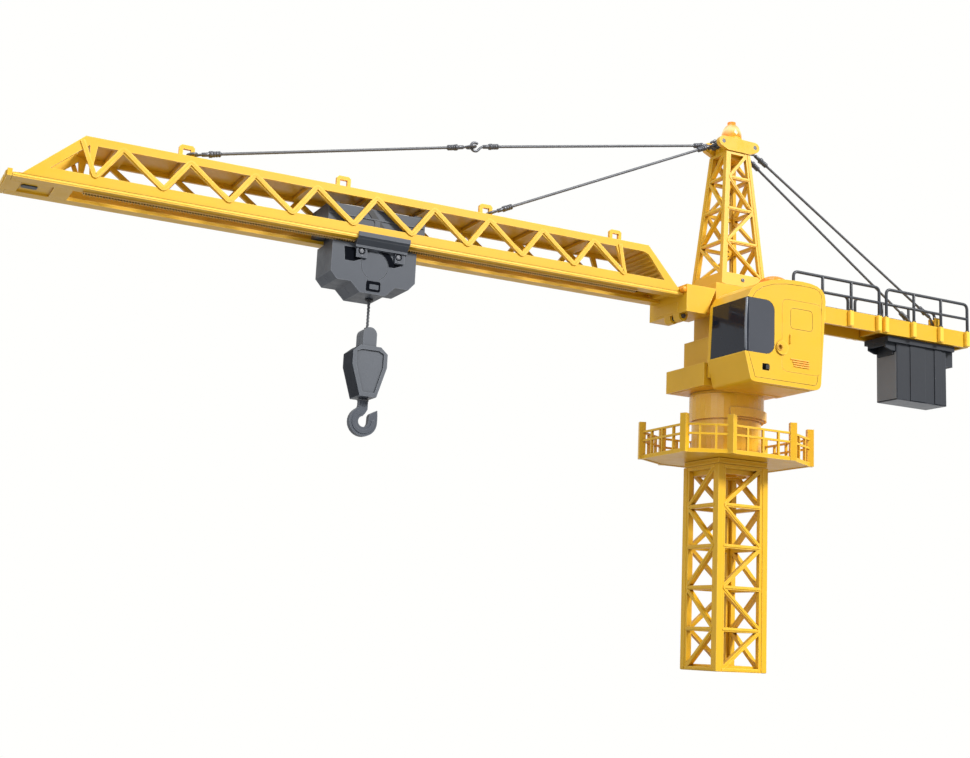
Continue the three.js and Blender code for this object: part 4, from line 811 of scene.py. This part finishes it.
def cab_details():
    # The louvres are made in the darker orange, painted shade on their slats.
    bm = bmesh.new()
    for k, (x0, x1) in enumerate(((2.6, 20.6), (4.2, 21.0), (5.2, 21.0), (5.8, 21.0))):
        z = 243.7 - k * 1.75
        wedge = [(CAB_NEAR + 0.2, z - 0.55), (CAB_NEAR - 0.75, z - 0.5), (CAB_NEAR - 0.35, z + 0.5),
                 (CAB_NEAR + 0.2, z + 0.6)]
        prism(bm, wedge, x0, x1, "YZ")
    piece("cab_louvres", bm, "louvre", "superstructure", 0.12)
    bm = bmesh.new()
    path = [(1.9, CAB_NEAR + 0.4, 262.9), (1.9, CAB_NEAR - 1.0, 262.5), (1.6, CAB_NEAR - 1.0, 255.9),
            (1.6, CAB_NEAR + 0.4, 255.5)]
    tube(bm, filleted(path, 0.5, 4), 0.45, 10)
    piece("cab_door_handle", bm, "yellow", "superstructure", 0)
    bm = bmesh.new()
    x, z = BOSS
    rim = [(2.7, 0.9), (2.7, 1.65), (1.85, 1.65), (1.85, 0.9)]
    lathe(bm, rim, (x, CAB_NEAR, z), (0, -1, 0), 20, True)
    lathe(bm, [(0, 0), (1.8, 0), (1.8, 0.6), (0, 0.6)], (x, CAB_NEAR + 0.6, z), (0, -1, 0), 18)
    piece("cab_boss_socket", bm, "dark_yellow", "superstructure", 0.1)
    # A pale rod at the windows' rounded corner, painted as its highlight.
    bm = bmesh.new()
    tube(bm, filleted([(-40.3, -79.4, 245.6), (-41.0, -79.6, 266), (-39.6, -79.4, 286.9)], 8, 8), 0.95, 12)
    piece("cab_window_corner_highlight", bm, "corner_highlight", "superstructure", 0)
    bm = bmesh.new()
    for x0, x1, y0, y1 in ((-30, 26, -74.5, -73.2), (-30, 26, -39, -37.7)):
        prism(bm, round_rect(x0, x1, y0, y1, 0.6), 221.1, 221.8, "XY")
    piece("cab_floor_ribs", bm, "yellow", "superstructure", 0.2)


# ---------------------------------------------------------------- trolley, rope and hook

TROLLEY_X, SHELL_Y = -326.5, 16.2
SADDLE_SCREWS = ((-337.3, 288.9), (-308.3, 288.7))
# The rope leaves the trolley at ROPE_EXIT and enters the hook block at ROPE_END.
ROPE_X, ROPE_EXIT, ROPE_END = -322.5, 258.3, 236.5


def trolley_details():
    bm = bmesh.new()
    face = -SHELL_Y
    frame_ring = round_rect(-331.6, -320.9, 260.6, 268.0, 1.2)
    prism(bm, frame_ring, face - 0.75, face + 0.3)
    piece("latch_frame", bm, "jet", "trolley", 0.3)
    bm = bmesh.new()
    prism(bm, round_rect(-329.6, -322.4, 261.7, 265.4, 0.6), face - 1.25, face - 0.2)
    piece("latch_tongue", bm, "slate", "trolley", 0.25)
    bm = bmesh.new()
    # The elbow, crescent and inner band are dark plates painted as the shade inside the shell's recesses by
    # the saddle ears.
    x, z, radius = -326.1, 279.6, 10.3
    elbow = [(x - 24.0, 292.6), (x - 22.9, 281.0), (x - 16.2, 281.0), (x - 11.1, 283.4), (x - 11.3, 284.8),
             (x - 15.3, 285.0), (x - 15.3, 292.6)]
    horn = [(x + 15.2, 280.7), (x + 21.3, 283.4), (x + 14.0, 283.6)]
    crescent = arc(x, z, radius + 1.0, 2.2, 0.12, 14) + horn + arc(x, z, radius + 5.0, 0.35, 2.0, 10)
    for outline in (elbow, crescent):
        prism(bm, outline, face + 0.45, face + 1.3)
    end = [(x + 15.0, 280.9), (x + 15.0, 283.6)]
    inner_shade = arc(x, z, radius + 0.9, 1.75, 0.1, 12) + end + arc(x, z, radius + 4.6, 0.42, 1.65, 8)
    prism(bm, inner_shade, face - 0.5, face + 0.6)
    piece("recess_shadow", bm, "jet", "trolley", 0.12)
    bm = bmesh.new()
    rim = [(1.9, -0.3), (2.7, -0.3), (2.7, 0.22), (1.9, 0.22)]
    for x, z in SADDLE_SCREWS:
        lathe(bm, rim, (x, face - 1.6, z), (0, -1, 0), 20, True)
    mirror_y(bm)
    piece("saddle_screw_rings", bm, "jet", "trolley", 0)
    bm = bmesh.new()
    stud = [(0, -0.4), (0.5, -0.4), (0.5, 0.3), (0, 0.32)]
    for x, z in SADDLE_SCREWS:
        screw(bm, (x, face - 1.2, z), (0, -1, 0), 1.5)
        lathe(bm, stud, (x + 0.2, face - 1.7, z - 3.6), (0, -1, 0), 12)
    mirror_y(bm)
    piece("saddle_screws", bm, "dark_steel", "trolley", 0.08)
    bm = bmesh.new()
    bush = [(1.95, -0.8), (2.9, -0.7), (3.1, 0.6), (2.6, 1.4), (1.95, 1.4)]
    lathe(bm, bush, (ROPE_X, 0, 257.6), (0, 0, 1), 24, True)
    piece("rope_bush", bm, "black", "trolley", 0)
    bm = bmesh.new()
    c = TROLLEY_X
    for side in (-1, 1):
        y = side * 17.6
        for x in (c - 30, c + 30):
            tube(bm, [(x, y - side * 1.6, 302.5), (x, y - side * 0.45, 302.5)], 2.2, 18)
        block(bm, c - 37.4, c + 37.4, min(y, y + side * 0.6), max(y, y + side * 0.6), 313.2, 314.2)
        block(bm, c - 2.0, c + 2.0, min(y, y + side * 0.5), max(y, y + side * 0.5), 301.2, 313)
    piece("carriage_fittings", bm, "slate", "trolley", 0.2)
    bm = bmesh.new()
    for x0, x1 in ((c - 36.5, c - 29), (c + 29, c + 36.5)):
        prism(bm, round_rect(x0, x1, -16.6, 16.6, 0.9), 321.2, 323.0, "XY")
    for side in (-1, 1):
        slant = [(c + 6, 301.4), (c + 12, 301.4), (c - 4, 321.0), (c - 10, 321.0)]
        prism(bm, slant, side * 17.5, side * 18.0)
    piece("carriage_bars", bm, "black", "trolley", 0.3)
    bm = bmesh.new()
    prism(bm, round_rect(c - 26, c + 26, -15.6, 15.6, 1.2), 321.3, 322.4, "XY")
    piece("carriage_label_plate", bm, "nylon", "trolley", 0.2)


def hook_details():
    bm = bmesh.new()
    sides = [(7.6, 221.9), (13.7, 216.9), (13.7, 206.8), (6.9, 184.8)]
    for sign in (-1, 1):
        rings = []
        for x, z in sides:
            inner, outer = ROPE_X + sign * (x - 0.9), ROPE_X + sign * x
            rings.append([Vector((outer, -8.9, z)), Vector((inner, -8.9, z)), Vector((inner, 8.9, z)),
                          Vector((outer, 8.9, z))])
        loft(bm, rings)
    piece("hook_block_cheeks", bm, "deep_slate", "hook_block", 0.2)
    bm = bmesh.new()
    outline = arc(0.4, 167, 8.9, 2.0, 2 * PI + 0.25, 30) + arc(0.4, 167, 6.0, 2 * PI + 0.25, 2.0, 30)
    outline = [(ROPE_X + x, z) for x, z in outline]
    for y0, y1 in ((-3.1, -2.3), (2.3, 3.1)):
        prism(bm, outline, y0, y1)
    piece("hook_rim", bm, "slate", "hook", 0.3)
    bm = bmesh.new()
    lathe(bm, [(3.2, 0), (4.3, 0.3), (4.3, 1.2), (3.5, 1.7)], (ROPE_X, 0, 181.9), (0, 0, 1), 24)
    piece("hook_washer", bm, "dark_steel", "hook", 0)
    bm = bmesh.new()
    grommet = [(1.25, -0.6), (2.3, -0.5), (2.4, 0.2), (1.6, 0.7), (1.25, 0.7)]
    lathe(bm, grommet, (ROPE_X, 0, 236.2), (0, 0, 1), 20, True)
    piece("rope_grommet", bm, "black", "hook_block", 0)


def hoist_rope():
    bm = bmesh.new()
    line = resample([(ROPE_X, 0, 236.4), (ROPE_X, 0, 259.4)], 0.2)
    tube(bm, line, 0.92, 18, 3, 0.2, 7.8, ends=False)
    strand = piece("hoist_rope_strand", bm, "rope", "rope", 0, replaces=("hoist_rope",),
                   mount=False)
    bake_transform(strand)


# ---------------------------------------------------------------- beacon


BEACON_X, GRIPS, GRIP_RADIUS = 1.3, 12, 9.2


def beacon_details():
    bm = bmesh.new()
    bulb = [(0, 0), (3.2, 0.2), (4.2, 2.0), (4.4, 4.2), (3.4, 6.4), (0, 7.4)]
    lathe(bm, bulb, (BEACON_X, 0, 450.4), (0, 0, 1), 24)
    piece("beacon_bulb", bm, "bulb", "superstructure", 0)
    bm = bmesh.new()
    for k in range(GRIPS):
        t = 2 * PI * k / GRIPS
        x, y = BEACON_X + GRIP_RADIUS * math.cos(t), GRIP_RADIUS * math.sin(t)
        lathe(bm, [(0.45, 0), (0.45, 2.4)], (x, y, 446.2), (0, 0, 1), 8)
    piece("beacon_grip", bm, "yellow", "superstructure", 0)


jib_ribs()
jib_details()
mast_details()
head_details()
guard_rails()
counter_jib_details()
stays()
cab_details()
trolley_details()
hook_details()
hoist_rope()
beacon_details()

# ---------------------------------------------------------------- stage


FLOOR_RADIUS = 1.3
FLOOR_TONE = 0.30
PAPER_WHITE = (1.0, 1.0, 0.985, 1)
AMBIENT = 0.46


def set_stage():
    bm = bmesh.new()
    bmesh.ops.create_circle(bm, cap_ends=True, radius=FLOOR_RADIUS, segments=96)
    mesh = bpy.data.meshes.new("floor")
    bm.to_mesh(mesh)
    bm.free()
    floor = bpy.data.objects.new("floor", mesh)
    floor.location = (-0.15, 0.0, 0.0)
    bpy.context.scene.collection.objects.link(floor)
    material = bpy.data.materials.new("floor_paper")
    material.use_nodes = True
    tree = Nodes(material.node_tree)
    shader = material.node_tree.nodes["Principled BSDF"]
    path = tree.add("ShaderNodeLightPath").outputs
    seen = tree.math("MAXIMUM", path["Is Camera Ray"], tree.math("MULTIPLY", path["Is Glossy Ray"], 0.5))
    dull, bright = rgba((FLOOR_TONE,) * 3), rgba((FLOOR_TONE + 0.02,) * 3)
    paper = tree.mix(tree.spread(tree.noise(6.0), 0.0, 1.0), dull, bright)
    paper = tree.mix(seen, paper, rgba((0.0, 0.0, 0.0)))
    material.node_tree.links.new(paper, shader.inputs["Base Color"])
    shader.inputs["Roughness"].default_value = 0.9
    shader.inputs["Specular IOR Level"].default_value = 0.0
    shader.inputs["Emission Color"].default_value = PAPER_WHITE
    material.node_tree.links.new(seen, shader.inputs["Emission Strength"])
    floor.data.materials.append(material)

    world = bpy.data.worlds.new("studio")
    bpy.context.scene.world = world
    world.use_nodes = True
    tree = Nodes(world.node_tree)
    path = tree.add("ShaderNodeLightPath").outputs
    seen = tree.math("MAXIMUM", path["Is Camera Ray"], tree.math("MULTIPLY", path["Is Glossy Ray"], 0.6))
    strength = tree.spread(seen, AMBIENT, 1.0, 0.0, 1.0)
    background = world.node_tree.nodes["Background"]
    background.inputs["Color"].default_value = PAPER_WHITE
    world.node_tree.links.new(strength, background.inputs["Strength"])


def distant_light(name, toward, strength, spread, colour=(1, 1, 1)):
    """A soft light from far away, shining from the direction toward."""
    data = bpy.data.lights.new(name, "SUN")
    data.energy = strength
    data.angle = math.radians(spread)
    data.color = colour
    light = bpy.data.objects.new(name, data)
    light.rotation_euler = Vector(toward).to_track_quat("Z", "Y").to_euler()
    light.location = Vector(toward).normalized() * 2
    bpy.context.scene.collection.objects.link(light)


set_stage()
distant_light("key", (0.42, -0.78, 0.62), 4.1, 14, (1.0, 0.985, 0.95))
distant_light("top", (-0.2, 0.15, 1.0), 1.15, 40)
distant_light("left", (-1.0, -0.30, 0.30), 0.80, 50, (0.94, 0.97, 1.0))
bpy.context.scene.view_settings.view_transform = "Standard"
bpy.context.scene.view_settings.look = "None"
